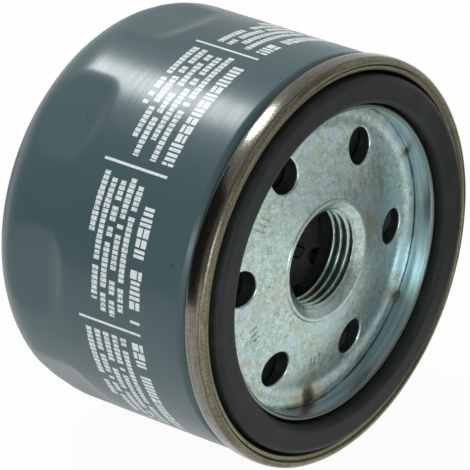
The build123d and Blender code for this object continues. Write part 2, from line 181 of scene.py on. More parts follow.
class Graph:
    """Node tree of a material or a world, with the few calls that the finishes are written in."""

    def __init__(self, owner: bpy.types.ID) -> None:
        """Start an empty tree on its owner.

        Args:
            owner: the material or world.
        """
        owner.use_nodes = True
        self.owner = owner
        self.tree = owner.node_tree
        self.tree.nodes.clear()

    def add(self, kind: str, values: dict | None = None, **settings: Any) -> Wire:
        """Add any node.

        Args:
            kind: the node's type.
            values: a number, a colour or a wire for each of its sockets, by name or place.
            settings: its properties, which are set first.

        Returns:
            The node's first output that is in use.
        """
        node = self.tree.nodes.new(kind)
        for key, setting in settings.items():
            setattr(node, key, setting)
        for key, value in (values or {}).items():
            if isinstance(value, Wire):
                self.tree.links.new(value.socket, node.inputs[key])
            else:
                node.inputs[key].default_value = value
        outputs = [socket for socket in node.outputs if socket.enabled]
        return Wire(self, outputs[0] if outputs else None)

    def position(self) -> Wire:
        """Place on the piece, in millimetres."""
        values = {0: self.add("ShaderNodeTexCoord").other("Object"), "Scale": 1 / MM}
        return self.add("ShaderNodeVectorMath", values, operation="SCALE")

    def split(self, vector: Wire) -> tuple[Wire, Wire, Wire]:
        """X, Y and Z of a vector."""
        x = self.add("ShaderNodeSeparateXYZ", {0: vector})
        return x, x.other("Y"), x.other("Z")

    def join(self, x: Number, y: Number, z: Number) -> Wire:
        """Vector of three values."""
        return self.add("ShaderNodeCombineXYZ", {0: x, 1: y, 2: z})

    def noise(self, where: Wire, size: float, detail: float = 2.0, rough: float = 0.5) -> Wire:
        """Cloudy noise from 0 to 1 whose blotches are about size millimetres across."""
        values = {"Vector": where, "Scale": 1 / size, "Detail": detail, "Roughness": rough}
        return self.add("ShaderNodeTexNoise", values)

    def cells(self, where: Wire, size: float) -> Wire:
        """Distance to the nearest of scattered points about size millimetres apart."""
        return self.add("ShaderNodeTexVoronoi", {"Vector": where, "Scale": 1 / size})

    def chance(self, x: Number, y: Number, z: Number) -> Wire:
        """Number from 0 to 1 that is the same each time for one triple of values."""
        return self.add("ShaderNodeTexWhiteNoise", {"Vector": self.join(x, y, z)})

    def blend(self, share: Number, first: Any, second: Any) -> Wire:
        """Colour that goes from first to second as share goes from 0 to 1."""
        return self.add("ShaderNodeMix", {0: share, 6: first, 7: second}, data_type="RGBA")

    def layers(self, base: Any, *layers: tuple[Number, Any]) -> Wire:
        """Colour with others laid over it in turn, each by its own share.

        Args:
            base: the lowest colour.
            layers: the share and the colour of each layer.

        Returns:
            The colour on top.
        """
        for share, colour in layers:
            base = self.blend(share, base, colour)
        return base

    def bump(self, height: Wire, depth: float, **below: Wire) -> Wire:
        """Normal of a surface that height, from 0 to 1, raises by depth millimetres, over a Normal below."""
        values = {"Height": height, "Distance": depth * MM, "Strength": 1.0, **below}
        return self.add("ShaderNodeBump", values)

    def output(self, shader: Wire, kind: str = "Material") -> bpy.types.ID:
        """Connect the shader to the tree's output, and return the tree's owner."""
        self.add(f"ShaderNodeOutput{kind}", {"Surface": shader})
        return self.owner

    def surface(self, **sockets: Any) -> Material:
        """Finish the material with one Principled shader whose sockets have these values."""
        values = {name.replace("_", " "): value for name, value in sockets.items()}
        return self.output(self.add("ShaderNodeBsdfPrincipled", values))


@dataclass(frozen=True)
class Polar:
    """Coordinates of a turned piece: its place, and that along the axis, its radius and its angle."""

    graph: Graph
    place: Wire
    x: Wire
    radius: Wire
    angle: Wire

    @staticmethod
    def of(graph: Graph) -> Polar:
        """Radius is the root of y squared plus z squared; angle is that of z over y, in radians.

        Args:
            graph: the tree to add to.

        Returns:
            The coordinates.
        """
        place = graph.position()
        x, y, z = graph.split(place)
        return Polar(graph, place, x, (y * y + z * z).math("SQRT"), z.math("ARCTAN2", y))

    def streaks(self, along: float, across: float, detail: float = 2.0, rough: float = 0.5) -> Wire:
        """Noise drawn out round the axis: the angle counts little, the rest a lot.

        Args:
            along: millimetres of arc that one unit of noise covers, at a radius of 30.
            across: millimetres across the streaks that one unit covers.
            detail: octaves of the noise.
            rough: share of each octave in the next.

        Returns:
            The noise, from 0 to 1.
        """
        arc = 30.0 / along
        level, upright = self.angle.math("COSINE") * arc, self.angle.math("SINE") * arc
        where = self.graph.join(level, upright, (self.x + self.radius) / across)
        return self.graph.noise(where, 1.0, detail, rough)


# ---------------------------------------------------------------- finishes


@dataclass(frozen=True)
class PrintedPaint:
    """Semi-gloss enamel on the can, with generic white print in eight panels.

    The print is rows of plain blocks: a row of large ones near the seam, each cut in two by a slit,
    and small rows behind it, between rules that run along the axis. It holds no letters.
    """

    paint: Colour = (0.076, 0.131, 0.140, 1.0)
    paint_deep: Colour = (0.062, 0.108, 0.115, 1.0)
    ink: Colour = (0.92, 0.97, 0.97, 1.0)
    wall_radius: float = 37.3
    panels: int = 8
    panel_phase: float = 97.4
    rule_front: float = -15.9
    rule_back: float = -30.1
    rule_width: float = 0.5
    heading_x: float = -17.0
    heading_height: float = 2.6
    heading_pitch: float = 1.9
    slit: float = 0.28
    row_front: float = -19.25
    row_pitch: float = 2.0
    rows: int = 5
    row_height: float = 1.4
    mark_pitch: float = 0.93
    edge: float = 0.06
    heading_margin: float = 2.0
    row_margin: float = 1.9
    dust: Colour = (0.35, 0.37, 0.36, 1.0)

    def _marks(self, graph: Graph, arc: Wire, off: Wire, row: Number, panel: Wire, pitch: float,
               height: float, gaps: float) -> Wire:
        """Blocks along one row, each in a cell of it, with a width and a height that vary by chance.

        Args:
            graph: the tree to add to.
            arc: arc length from the start of the panel.
            off: distance from the middle of the row.
            row: the row's number.
            panel: the panel's number.
            pitch: length of a cell.
            height: height of the tallest block.
            gaps: share of the cells that stay blank.

        Returns:
            One on a block, else nothing.
        """
        place = arc / pitch
        cell = place.floor()
        luck = graph.chance(cell, row, panel)
        wide = 0.38 + graph.chance(cell, row + 31.0, panel + 17.0) * 0.06
        tall = (0.38 + luck * 0.12) * height
        soft = self.edge / pitch
        across = (wide - abs(place.fract() - 0.5)).step(-soft, soft)
        upright = (tall - abs(off)).step(-self.edge, self.edge)
        return across * upright * (luck > gaps)

    def _heading(self, graph: Graph, x: Wire, arc: Wire, panel: Wire, panel_arc: float) -> Wire:
        """Large blocks near the seam, each cut in two by a slit that runs one way or the other.

        Args:
            graph: the tree to add to.
            x: place along the axis.
            arc: arc length from the start of the panel.
            panel: the panel's number.
            panel_arc: arc length of a whole panel.

        Returns:
            One on the heading, else nothing.
        """
        pitch = self.heading_pitch
        off = x - self.heading_x
        start = pitch * (1.0 + (graph.chance(panel, 3.0, 5.0) * 2.99).floor())
        span = (arc > start) * (arc < panel_arc - self.heading_margin)
        blocks = self._marks(graph, arc, off, 0.0, panel, pitch, self.heading_height, 0.13)
        cell = (arc / pitch).floor()
        along = abs((arc / pitch).fract() - 0.5) * pitch
        across = abs(off - (graph.chance(cell, panel, 7.0) - 0.5) * 0.9)
        from_slit = along + (across - along) * (graph.chance(cell, panel, 2.0) > 0.5)
        return blocks * from_slit.step(self.slit / 2 - self.edge, self.slit / 2 + self.edge) * span

    def _rows(self, polar: Polar, arc: Wire, panel: Wire, panel_arc: float) -> Wire:
        """Rows of small blocks that end at different places, the last row well short of the others.

        Args:
            polar: coordinates of the can.
            arc: arc length from the start of the panel.
            panel: the panel's number.
            panel_arc: arc length of a whole panel.

        Returns:
            One on a row's ink, else nothing.
        """
        graph = polar.graph
        place = (self.row_front - polar.x) / self.row_pitch
        row = place.floor()
        off = (place.fract() - 0.5) * self.row_pitch
        on_rows = (place > 0.0) * (place < float(self.rows))
        ragged = (graph.chance(row, panel, 9.0) ** 4.0) * 4.0
        short = panel_arc * (0.5 - graph.chance(panel, 6.0, 2.0) * 0.4)
        end = panel_arc - self.row_margin - ragged - (row > self.rows - 1.5) * short
        blocks = self._marks(graph, arc, off, row, panel, self.mark_pitch, self.row_height, 0.15)
        strokes = graph.noise(polar.place, 0.30, 1.0, 0.4).step(0.34, 0.46)
        return blocks * on_rows * (arc > self.row_margin) * (arc < end) * (0.5 + strokes * 0.5)

    def print_mask(self, polar: Polar) -> Wire:
        """One on the ink and nothing on bare paint.

        The angle from the first rule is split into a panel number and an arc length inside it. The
        place along the axis picks the row.

        Args:
            polar: coordinates of the can.

        Returns:
            The mask.
        """
        panel_angle = 2 * math.pi / self.panels
        panel_arc = panel_angle * self.wall_radius
        turns = (polar.angle - math.radians(self.panel_phase - 360)) / panel_angle
        panel, arc = turns.floor(), turns.fract() * panel_arc
        middle = (self.rule_front + self.rule_back) / 2
        along_rule = polar.x.within(middle, (self.rule_front - self.rule_back) / 2, self.edge)
        from_rule = panel_arc / 2 - abs(arc - panel_arc / 2)
        rule = (self.rule_width / 2 - from_rule).step(-self.edge, self.edge) * along_rule
        heading = self._heading(polar.graph, polar.x, arc, panel, panel_arc)
        return rule.larger(heading).larger(self._rows(polar, arc, panel, panel_arc))

    def build(self, graph: Graph) -> Material:
        """Material of the painted can.

        Args:
            graph: the new material's tree.

        Returns:
            The material.
        """
        polar = Polar.of(graph)
        cloud = graph.noise(polar.place, 14.0, 3.0)
        speck = graph.noise(polar.place, 0.28, 2.0, 0.7)
        pits = graph.cells(polar.place, 4.4).step(0.07, 0.04)
        worn = graph.noise(polar.place, 0.9, 3.0).step(0.30, 0.48)
        dust = graph.noise(polar.place, 0.7, 4.0, 0.8).step(0.66, 0.80)
        ink = self.print_mask(polar) * (0.80 + worn * 0.20)
        peel = graph.noise(polar.place, 1.3) * 0.6 + speck * 0.4 + ink * 0.5 - pits * 0.8
        return graph.surface(
            Base_Color=graph.layers(
                self.paint_deep,
                ((cloud * 0.6 + speck * 0.8 - 0.2).step(0.1, 0.9), self.paint),
                (pits * 0.6, grey(0.025)),
                (dust * 0.10, self.dust),
                (ink, self.ink),
            ),
            Roughness=0.40 + speck * 0.10 + ink * 0.12,
            Specular_IOR_Level=0.20,
            Coat_Weight=0.04 + polar.streaks(9.0, 0.22, 3.0, 0.7) * 0.74,
            Coat_Roughness=0.25,
            Normal=graph.bump(peel, 0.006),
        )


@dataclass(frozen=True)
class RolledSteel:
    """Bare sheet of the lid: shiny outer wall, dull olive front face, rust specks and dark grain.

    The front face starts at face_x and gets duller inwards; the crest of the bead is painted dark as shade
    and as a dark reflection of the gasket beside it.
    """

    face: Colour = (0.27, 0.26, 0.18, 1.0)
    wall: Colour = (0.28, 0.272, 0.235, 1.0)
    rust: Colour = (0.12, 0.06, 0.03, 1.0)
    # Dark brown of the real streaks and grain, also used for painted shade on the bead's crest and in the
    # seam's grooves.
    streak_and_shade: Colour = (0.085, 0.075, 0.045, 1.0)
    inner: Colour = (0.52, 0.64, 0.66, 1.0)
    inner_dark: Colour = (0.36, 0.46, 0.51, 1.0)
    face_x: float = -1.75
    channel_radius: float = 30.5
    crest_x: float = -2.5
    crest_line_x: float = -2.05
    lip_radius: float = 36.4

    def build(self, graph: Graph) -> Material:
        """Material of the lid and its rolled seam.

        Args:
            graph: the new material's tree.

        Returns:
            The material.
        """
        polar = Polar.of(graph)
        rings = polar.streaks(10.0, 0.16, 4.0, 0.65)
        drawn = polar.streaks(16.0, 0.9, 3.0).step(0.35, 0.65)
        blotch = graph.noise(polar.place, 2.6, 4.0, 0.65)
        fine = graph.noise(polar.place, 0.30, 3.0, 0.75)
        on_face = polar.x.step(self.face_x - 0.35, self.face_x + 0.25)
        on_bead = polar.radius.step(self.channel_radius + 0.3, self.channel_radius - 0.3)
        off_bead = 1 - on_bead
        # Painted shade and painted reflection: the bead's crest darkened for the gasket beside it.
        crest = on_bead * polar.x.step(self.crest_x, self.crest_x + 0.3)
        # Painted shade: thin dark lines round the wall and at the lip of the face, for shallow grooves.
        crest_line = polar.x.within(self.crest_line_x, 0.10, 0.08) * off_bead
        lip = polar.radius.within(self.lip_radius, 0.12, 0.10) * on_face
        specks = graph.cells(polar.place, 1.5).step(0.17, 0.08) * blotch.step(0.40, 0.55) * off_bead
        rough = 0.11 + fine * 0.09 + specks * 0.3 + rings * 0.08
        return graph.surface(
            Base_Color=graph.layers(
                self.wall,
                (on_face, self.face),
                ((rings * 0.6 + fine * 0.5).step(0.44, 0.64) * 0.75, self.streak_and_shade),
                (blotch.step(0.56, 0.72) * 0.55, self.streak_and_shade),
                (fine.step(0.48, 0.66) * on_face * 0.55, self.streak_and_shade),
                (on_bead, graph.blend(drawn, self.inner_dark, self.inner)),
                # Painted shade and painted reflection on the bead's crest.
                (crest * 0.75, self.streak_and_shade),
                # Painted shade of the grooves.
                (crest_line.larger(lip) * 0.7, self.streak_and_shade),
                (specks * 0.8, self.rust),
            ),
            Metallic=1.0 - specks * 0.6,
            Roughness=rough + on_face * off_bead * 0.16 + on_bead * 0.12,
            Normal=graph.bump(rings * 0.5 + fine * 0.5 + specks * 0.4, 0.014),
        )


@dataclass(frozen=True)
class ZincPlate:
    """Zinc-plated pressed steel: mottled, faintly blue-green, with burnt tint round the welds."""

    pale: Colour = (0.60, 0.745, 0.685, 1.0)
    deep: Colour = (0.27, 0.36, 0.32, 1.0)
    blue: Colour = (0.46, 0.62, 0.72, 1.0)
    tan: Colour = (0.42, 0.37, 0.22, 1.0)
    burnt: Colour = (0.045, 0.035, 0.028, 1.0)
    # Dark blue-grey of a painted shadow line at the bead's foot.
    foot: Colour = (0.05, 0.055, 0.085, 1.0)
    # Dark oil colour: the real specks, and also painted shade in the thread's roots.
    oil: Colour = (0.10, 0.11, 0.08, 1.0)
    hole_wall: Colour = (0.19, 0.19, 0.17, 1.0)
    # Pale colour of the painted highlight on the inlets' rims.
    painted_rim_highlight: Colour = (0.86, 0.90, 0.88, 1.0)
    weld_count: int = 6
    weld_phase: float = 25.2
    weld_radius: float = 27.6
    heaviest_weld: float = 265.2
    hub_radius: float = 11.4
    thread_minor: float = 8.67
    thread_mouth: float = -4.8
    cone_start: float = -4.15
    cone_slope: float = 0.187
    hole_band: tuple[float, float] = (17.0, 24.9)
    thread_reach: float = 9.7
    foot_width: float = 0.55
    stamp_radius: float = 19.9
    stamp_pitch: float = 1.15
    stamp_half: float = 1.72
    stamps: tuple[float, ...] = (25.0, 143.0, 205.0, 267.0)

    def burn(self, polar: Polar) -> tuple[Wire, Wire]:
        """Burnt core and tan halo of each weld, the heaviest at one of them.

        The angle is folded to one weld, and the distance from the weld is the root of the squares of
        the arc length and of a share of the radius less the weld's. Its reach grows with the square
        of the cosine of the angle from the heaviest weld, on that side only.

        Args:
            polar: coordinates of the plate.

        Returns:
            Masks of the core and the halo.
        """
        step = 2 * math.pi / self.weld_count
        turns = (polar.angle - math.radians(self.weld_phase - 360)) / step + 0.5
        arc = (turns.fract() - 0.5) * step * self.weld_radius
        off = (polar.radius - self.weld_radius) * 0.55
        ragged = polar.graph.noise(polar.place, 1.0, 3.0) * 1.5 - 0.75
        away = ((arc * 0.9) ** 2.0 + off * off).math("SQRT") + ragged
        side = (polar.angle - math.radians(self.heaviest_weld)).math("COSINE").larger(0.0)
        heavy = side * side
        return (away - heavy * 1.5).step(0.9, -0.8), (away - heavy * 2.9).step(1.9, -0.5)

    def stamped(self, polar: Polar) -> Wire:
        """Plain punched strokes at a few places round the plate, three side by side at each.

        The arc length from the place is split into strokes by its fraction, and each stroke's length
        comes from its number.

        Args:
            polar: coordinates of the plate.

        Returns:
            One on a stroke, else nothing.
        """
        marks = None
        off = polar.radius - self.stamp_radius
        for number, angle in enumerate(self.stamps):
            arc = (polar.angle - math.radians((angle + 180) % 360 - 180)) * self.stamp_radius
            place = arc / self.stamp_pitch + 1.5
            inside = abs(place.fract() - 0.5 - off * 0.06) * self.stamp_pitch
            reach = 0.65 + polar.graph.chance(place.floor(), float(number), 4.0) * 0.55
            stroke = inside.step(0.20, 0.06) * (reach - abs(off)).step(-0.1, 0.1)
            stroke = stroke * (abs(arc) < self.stamp_half)
            marks = stroke if marks is None else marks.larger(stroke)
        return marks

    def holes(self, polar: Polar) -> tuple[Wire, Wire]:
        """Walls of the inlets and the rims round them, which get a painted highlight, in the band of radii
        where they lie.

        Both follow the depth below the front face, a cone whose height falls with the radius.

        Args:
            polar: coordinates of the plate.

        Returns:
            Masks of the walls and the rims.
        """
        depth = (polar.radius - self.hub_radius) * -self.cone_slope + self.cone_start - polar.x
        band = (polar.radius > self.hole_band[0]) * (polar.radius < self.hole_band[1])
        wall = depth.step(0.34, 0.70) * band
        return wall, depth.step(0.10, 0.20) * band * (1 - wall)

    def build(self, graph: Graph) -> Material:
        """Material of the base plate.

        Args:
            graph: the new material's tree.

        Returns:
            The material.
        """
        polar = Polar.of(graph)
        mottle = graph.noise(polar.place, 1.3, 5.0, 0.75)
        patch = graph.noise(polar.place, 7.0)
        stain = graph.noise(polar.place, 5.0, 3.0)
        grain = graph.noise(polar.place, 0.28, 2.0, 0.8)
        rings = polar.streaks(9.0, 0.3, 3.0)
        specks = graph.cells(polar.place, 2.3).step(0.09, 0.05)
        dents = graph.cells(polar.place, 3.1).step(0.25, 0.0)
        hub_line = abs(polar.radius - self.hub_radius).step(0.28, 0.08)
        foot_line = abs(polar.radius - self.weld_radius - self.foot_width).step(0.40, 0.10)
        in_thread = (polar.radius - self.thread_minor).step(0.05, 0.55) * (polar.radius < self.thread_reach)
        hole_wall, rim = self.holes(polar)
        core, halo = self.burn(polar)
        fine = graph.bump(mottle * 0.30 + grain * 0.20 + rings * 0.15 - dents * 0.3, 0.022)
        rough = 0.19 + mottle * 0.13 + grain * 0.11 + core * 0.25
        return graph.surface(
            Base_Color=graph.layers(
                self.deep,
                ((mottle * 0.7 + grain * 0.6 - 0.15).step(0.32, 0.66), self.pale),
                (patch.step(0.45, 0.70) * 0.45, self.blue),
                (stain.step(0.52, 0.74) * 0.50, self.tan),
                (hub_line * 0.25, self.tan),
                # Painted shade: a patchy dark line in the junction at the bead's foot.
                (foot_line * stain.step(0.35, 0.6) * 0.8, self.foot),
                # Painted shade: the thread's roots inside the bore darkened with the oil colour.
                (in_thread * (polar.x < self.thread_mouth) * 0.30, self.oil),
                # Painted highlight: pale rims round the inlets.
                (rim * 0.6, self.painted_rim_highlight),
                (hole_wall * 0.92, self.hole_wall),
                (halo * 0.6, self.tan),
                (core * 0.95, self.burnt),
                (specks * 0.7, self.oil),
            ),
            Metallic=0.95 - core * 0.5,
            Roughness=rough - in_thread * 0.08 - rim * 0.1,
            Normal=graph.bump(1 - self.stamped(polar), 0.6, Normal=fine),
        )


@dataclass(frozen=True)
class Rubber:
    """Matt black rubber with a faint bloom."""

    black: Colour = (0.018, 0.021, 0.020, 1.0)
    bloom: Colour = (0.036, 0.041, 0.040, 1.0)
    roughness: float = 0.42
    shine: float = 0.22

    def build(self, graph: Graph) -> Material:
        """Material of a rubber piece.

        Args:
            graph: the new material's tree.

        Returns:
            The material.
        """
        polar = Polar.of(graph)
        cloud = graph.noise(polar.place, 5.0, 4.0, 0.6)
        fine = graph.noise(polar.place, 0.25, 2.0, 0.7)
        rings = polar.streaks(20.0, 0.5)
        lint = graph.cells(polar.place, 1.7).step(0.07, 0.03)
        bloom = (cloud * 0.7 + fine * 0.3).step(0.45, 0.75)
        return graph.surface(
            Base_Color=graph.layers(self.black, (bloom, self.bloom), (lint * 0.25, grey(0.18))),
            Specular_IOR_Level=self.shine,
            Roughness=self.roughness + cloud * 0.12 + fine * 0.06,
            Normal=graph.bump(fine * 0.6 + rings * 0.4, 0.01),
        )


@dataclass(frozen=True)
class Metal:
    """Plain sheet or wire with a drawn grain and a few stains."""

    bright: Colour
    dull: Colour
    roughness: float
    metallic: float = 0.95
    grain_depth: float = 0.01

    def build(self, graph: Graph) -> Material:
        """Material of a metal piece.

        Args:
            graph: the new material's tree.

        Returns:
            The material.
        """
        polar = Polar.of(graph)
        stain = graph.noise(polar.place, 4.0, 4.0, 0.6)
        rings = polar.streaks(14.0, 0.25, 3.0)
        fine = graph.noise(polar.place, 0.3, 2.0, 0.7)
        share = (stain * 0.6 + rings * 0.3 + fine * 0.2).step(0.35, 0.75)
        return graph.surface(
            Base_Color=graph.blend(share, self.dull, self.bright),
            Metallic=self.metallic,
            Roughness=self.roughness + fine * 0.14,
            Normal=graph.bump(rings * 0.6 + fine * 0.4, self.grain_depth),
        )


@dataclass(frozen=True)
class FilterPaper:
    """Resin-bonded paper: tan with darker fibres, all painted darker than bare paper as shade inside the
    can, with more painted shade in the folds at the centre tube.
    """

    # Paper colours painted darker than bare paper, as shade inside the can.
    light: Colour = (0.20, 0.13, 0.055, 1.0)
    dark: Colour = (0.12, 0.07, 0.03, 1.0)
    painted_tube_shade: Colour = (0.060, 0.058, 0.050, 1.0)
    painted_shade_radius: float = 16.6

    def build(self, graph: Graph) -> Material:
        """Material of the pleated paper.

        Args:
            graph: the new material's tree.

        Returns:
            The material.
        """
        polar = Polar.of(graph)
        x, y, z = graph.split(polar.place)
        fibres = graph.noise(graph.join(x * 0.35, y, z), 0.35, 4.0, 0.75)
        resin = graph.noise(polar.place, 6.0, 3.0)
        share = (fibres * 0.7 + resin * 0.5 - 0.1).step(0.25, 0.75)
        # Painted shade: the paper darkens towards the centre tube.
        inner = polar.radius.step(self.painted_shade_radius, self.painted_shade_radius - 0.8)
        return graph.surface(
            Base_Color=graph.layers(self.dark, (share, self.light), (inner, self.painted_tube_shade)),
            Roughness=0.82 + fibres * 0.12,
            Normal=graph.bump(fibres, 0.05),
        )


@dataclass(frozen=True)
class Cured:
    """Cured adhesive or sealing compound: soft gloss, small bubbles."""

    light: Colour
    dark: Colour

    def build(self, graph: Graph) -> Material:
        """Material of a poured and cured piece.

        Args:
            graph: the new material's tree.

        Returns:
            The material.
        """
        place = graph.position()
        cloud = graph.noise(place, 3.0, 3.0)
        bubbles = graph.cells(place, 1.4).step(0.22, 0.10)
        return graph.surface(
            Base_Color=graph.blend(cloud.step(0.3, 0.7), self.dark, self.light),
            Roughness=0.34 + cloud * 0.2,
            Normal=graph.bump(cloud * 0.5 - bubbles, 0.06),
        )


class Finish(Enum):
    """The record's material slots, each with the finish that dresses it."""

    PAINT = ("blue_grey_paint", PrintedPaint())
    SEAM = ("seam_steel", RolledSteel())
    ZINC = ("zinc_plate", ZincPlate())
    WELD = ("weld_mark", Metal((0.22, 0.20, 0.18, 1.0), (0.03, 0.026, 0.022, 1.0), 0.42, 0.7, 0.05))
    GASKET = ("gasket_rubber", Rubber())
    VALVE = ("valve_rubber", Rubber((0.02, 0.022, 0.026, 1.0), roughness=0.38))
    SEALANT = ("seam_sealant", Cured((0.36, 0.34, 0.28, 1.0), (0.27, 0.25, 0.20, 1.0)))
    TINNED = ("cap_steel", Metal((0.66, 0.67, 0.66, 1.0), (0.48, 0.48, 0.46, 1.0), 0.26))
    PAPER = ("filter_paper", FilterPaper())
    PLASTISOL = ("plastisol", Cured((0.46, 0.09, 0.06, 1.0), (0.34, 0.06, 0.04, 1.0)))
    SPRING = ("spring_steel", Metal((0.40, 0.41, 0.42, 1.0), (0.24, 0.24, 0.25, 1.0), 0.3))

    @property
    def slot(self) -> str:
        """Name of the material slot in the record."""
        return self.value[0]

    @cache
    def material(self) -> Material:
        """The finish's material, built at its first use."""
        return self.value[1].build(Graph(bpy.data.materials.new(f"{self.slot}_finish")))


# ---------------------------------------------------------------- surfaces


def rounded_path(corners: list[tuple[float, float]], radii: list[float], spacing: float,
                 arc_points: int = 9) -> Points:
    """Points along a polyline whose inner corners are tangent arcs.

    At a corner that turns between unit directions a and b, both away from the corner, the centre of
    an arc of radius R lies on the bisector, at R over the sine of half the angle between them.

    Args:
        corners: the polyline's corners, as (x, radius).
        radii: one radius for each inner corner.
        spacing: longest gap between points on the straight runs.
        arc_points: points on each arc.

    Returns:
        An array of (x, radius) rows, with no point given twice.
    """
    nodes = np.array(corners, float)
    pieces = [nodes[:1]]
    for ahead, corner, behind, radius in zip(nodes[:-2], nodes[1:-1], nodes[2:], radii):
        before = (ahead - corner) / np.linalg.norm(ahead - corner)
        after = (behind - corner) / np.linalg.norm(behind - corner)
        half = math.acos(float(np.clip(before @ after, -1, 1))) / 2
        bisector = (before + after) / np.linalg.norm(before + after)
        across = (after - before) / np.linalg.norm(after - before)
        centre = corner + bisector * radius / math.sin(half)
        sweep = np.linspace(-1, 1, arc_points)[:, None] * (math.pi / 2 - half)
        pieces.append(centre - bisector * radius * np.cos(sweep) + across * radius * np.sin(sweep))
    pieces.append(nodes[-1:])
    joined = [pieces[0]]
    for last, following in zip(pieces[:-1], pieces[1:]):
        gap = following[0] - last[-1]
        count = max(int(math.ceil(float(np.linalg.norm(gap)) / spacing)), 1)
        joined.append(last[-1] + gap * (np.arange(1, count + 1) / count)[:, None])
        joined.append(following[1:])
    return np.concatenate(joined)


def offset_path(path: Points, distance: float) -> Points:
    """Path moved sideways: each point goes along the normal, which is the tangent turned left.

    Args:
        path: rows of (x, radius).
        distance: how far it moves, to the left of its way.

    Returns:
        The moved rows.
    """
    tangent = np.gradient(path, axis=0)
    tangent /= np.linalg.norm(tangent, axis=1, keepdims=True)
    return path + distance * np.stack([-tangent[:, 1], tangent[:, 0]], axis=1)


def sheet_loop(path: Points, thickness: float) -> Points:
    """Both sides of a sheet whose middle is path: along its left side and back along its right."""
    return np.concatenate([offset_path(path, thickness / 2), offset_path(path, -thickness / 2)[::-1]])


def swept(x: Points, radius: Points, angle: Points) -> Points:
    """Grid of points (x, r cos a, r sin a) from three arrays that fit one shape."""
    return np.stack(np.broadcast_arrays(x, radius * np.cos(angle), radius * np.sin(angle)), axis=2)


def turned(section: Points, columns: int, start: float = 0.0) -> Points:
    """Surface of revolution whose section has rows of (x, radius), in equal steps from a start angle."""
    return swept(section[:, :1], section[:, 1:2], start + np.arange(columns) * 2 * math.pi / columns)


def grid_faces(rows: int, columns: int, wrap_rows: bool, wrap_columns: bool, start: int) -> Points:
    """Four-cornered faces of a grid whose point (i, j) has the number start + i columns + j.

    Args:
        rows: number of rows.
        columns: number of columns.
        wrap_rows: whether the last row joins the first.
        wrap_columns: whether the last column joins the first.
        start: number of the grid's first point.

    Returns:
        Rows of four point numbers.
    """
    i = np.arange(rows if wrap_rows else rows - 1)[:, None]
    j = np.arange(columns if wrap_columns else columns - 1)[None, :]
    below = (i + 1) % rows
    right = (j + 1) % columns
    corners = [i * columns + j, i * columns + right, below * columns + right, below * columns + j]
    return start + np.stack(np.broadcast_arrays(*corners), axis=2).reshape(-1, 4)


def placed(name: str, data: bpy.types.ID) -> Piece:
    """New object of this data, linked to the scene.

    Args:
        name: the object's name.
        data: its mesh, lamp or camera.

    Returns:
        The object.
    """
    new = bpy.data.objects.new(name, data)
    bpy.context.scene.collection.objects.link(new)
    return new


@dataclass
class Patchwork:
    """Grids of points that together make one closed mesh."""

    points: list[Points] = field(default_factory=list)
    faces: list[Points] = field(default_factory=list)
    count: int = 0

    def add(self, grid: Points, wrap_rows: bool = False, wrap_columns: bool = True) -> Patchwork:
        """Add a grid of points and the faces between them.

        Args:
            grid: the points, in millimetres.
            wrap_rows: whether the last row joins the first.
            wrap_columns: whether the last column joins the first.

        Returns:
            The patchwork itself.
        """
        rows, columns = grid.shape[:2]
        self.points.append(grid.reshape(-1, 3))
        self.faces.append(grid_faces(rows, columns, wrap_rows, wrap_columns, self.count))
        self.count += rows * columns
        return self

    def build(self, name: str, sharp: float = 35.0) -> Piece:
        """Make the mesh: doubled points are merged, and then the faces are turned outwards.

        Args:
            name: the piece's name.
            sharp: degrees past which an edge is shaded as a sharp one.

        Returns:
            The new piece.
        """
        points = np.concatenate(self.points) * MM
        faces = np.concatenate(self.faces)
        mesh = bpy.data.meshes.new(name)
        mesh.vertices.add(len(points))
        mesh.vertices.foreach_set("co", points.astype(np.float32).ravel())
        mesh.loops.add(faces.size)
        mesh.loops.foreach_set("vertex_index", faces.astype(np.int32).ravel())
        mesh.polygons.add(len(faces))
        mesh.polygons.foreach_set("loop_start", np.arange(0, faces.size, 4, dtype=np.int32))
        mesh.update(calc_edges=True)
        tidy_mesh(mesh)
        mesh.polygons.foreach_set("use_smooth", np.ones(len(mesh.polygons), bool))
        mesh.set_sharp_from_angle(angle=math.radians(sharp))
        return placed(name, mesh)


def tidy_mesh(mesh: bpy.types.Mesh) -> None:
    """Merge doubled points, drop faces with no area and turn the rest outwards.

    Args:
        mesh: the mesh to change.
    """
    work = bmesh.new()
    work.from_mesh(mesh)
    bmesh.ops.remove_doubles(work, verts=work.verts, dist=MERGE)
    bmesh.ops.dissolve_degenerate(work, edges=work.edges, dist=MERGE)
    bmesh.ops.recalc_face_normals(work, faces=work.faces)
    work.to_mesh(mesh)
    work.free()
    mesh.update()


def dress(piece: Piece, finish: Finish, body: str, *stands_for: str) -> Piece:
    """Give a new piece its material, hang it on its body and hide the nodes that it replaces.

    Args:
        piece: the new piece.
        finish: its finish, which names its slot.
        body: the body that it rides on.
        stands_for: the nodes that it replaces.

    Returns:
        The same piece.
    """
    piece.data.materials.clear()
    piece.data.materials.append(finish.material())
    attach(piece, body)
    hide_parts(*stands_for)
    log.info("%s: %d faces, rides on %s", piece.name, len(piece.data.polygons), body)
    return piece


# ---------------------------------------------------------------- the housing


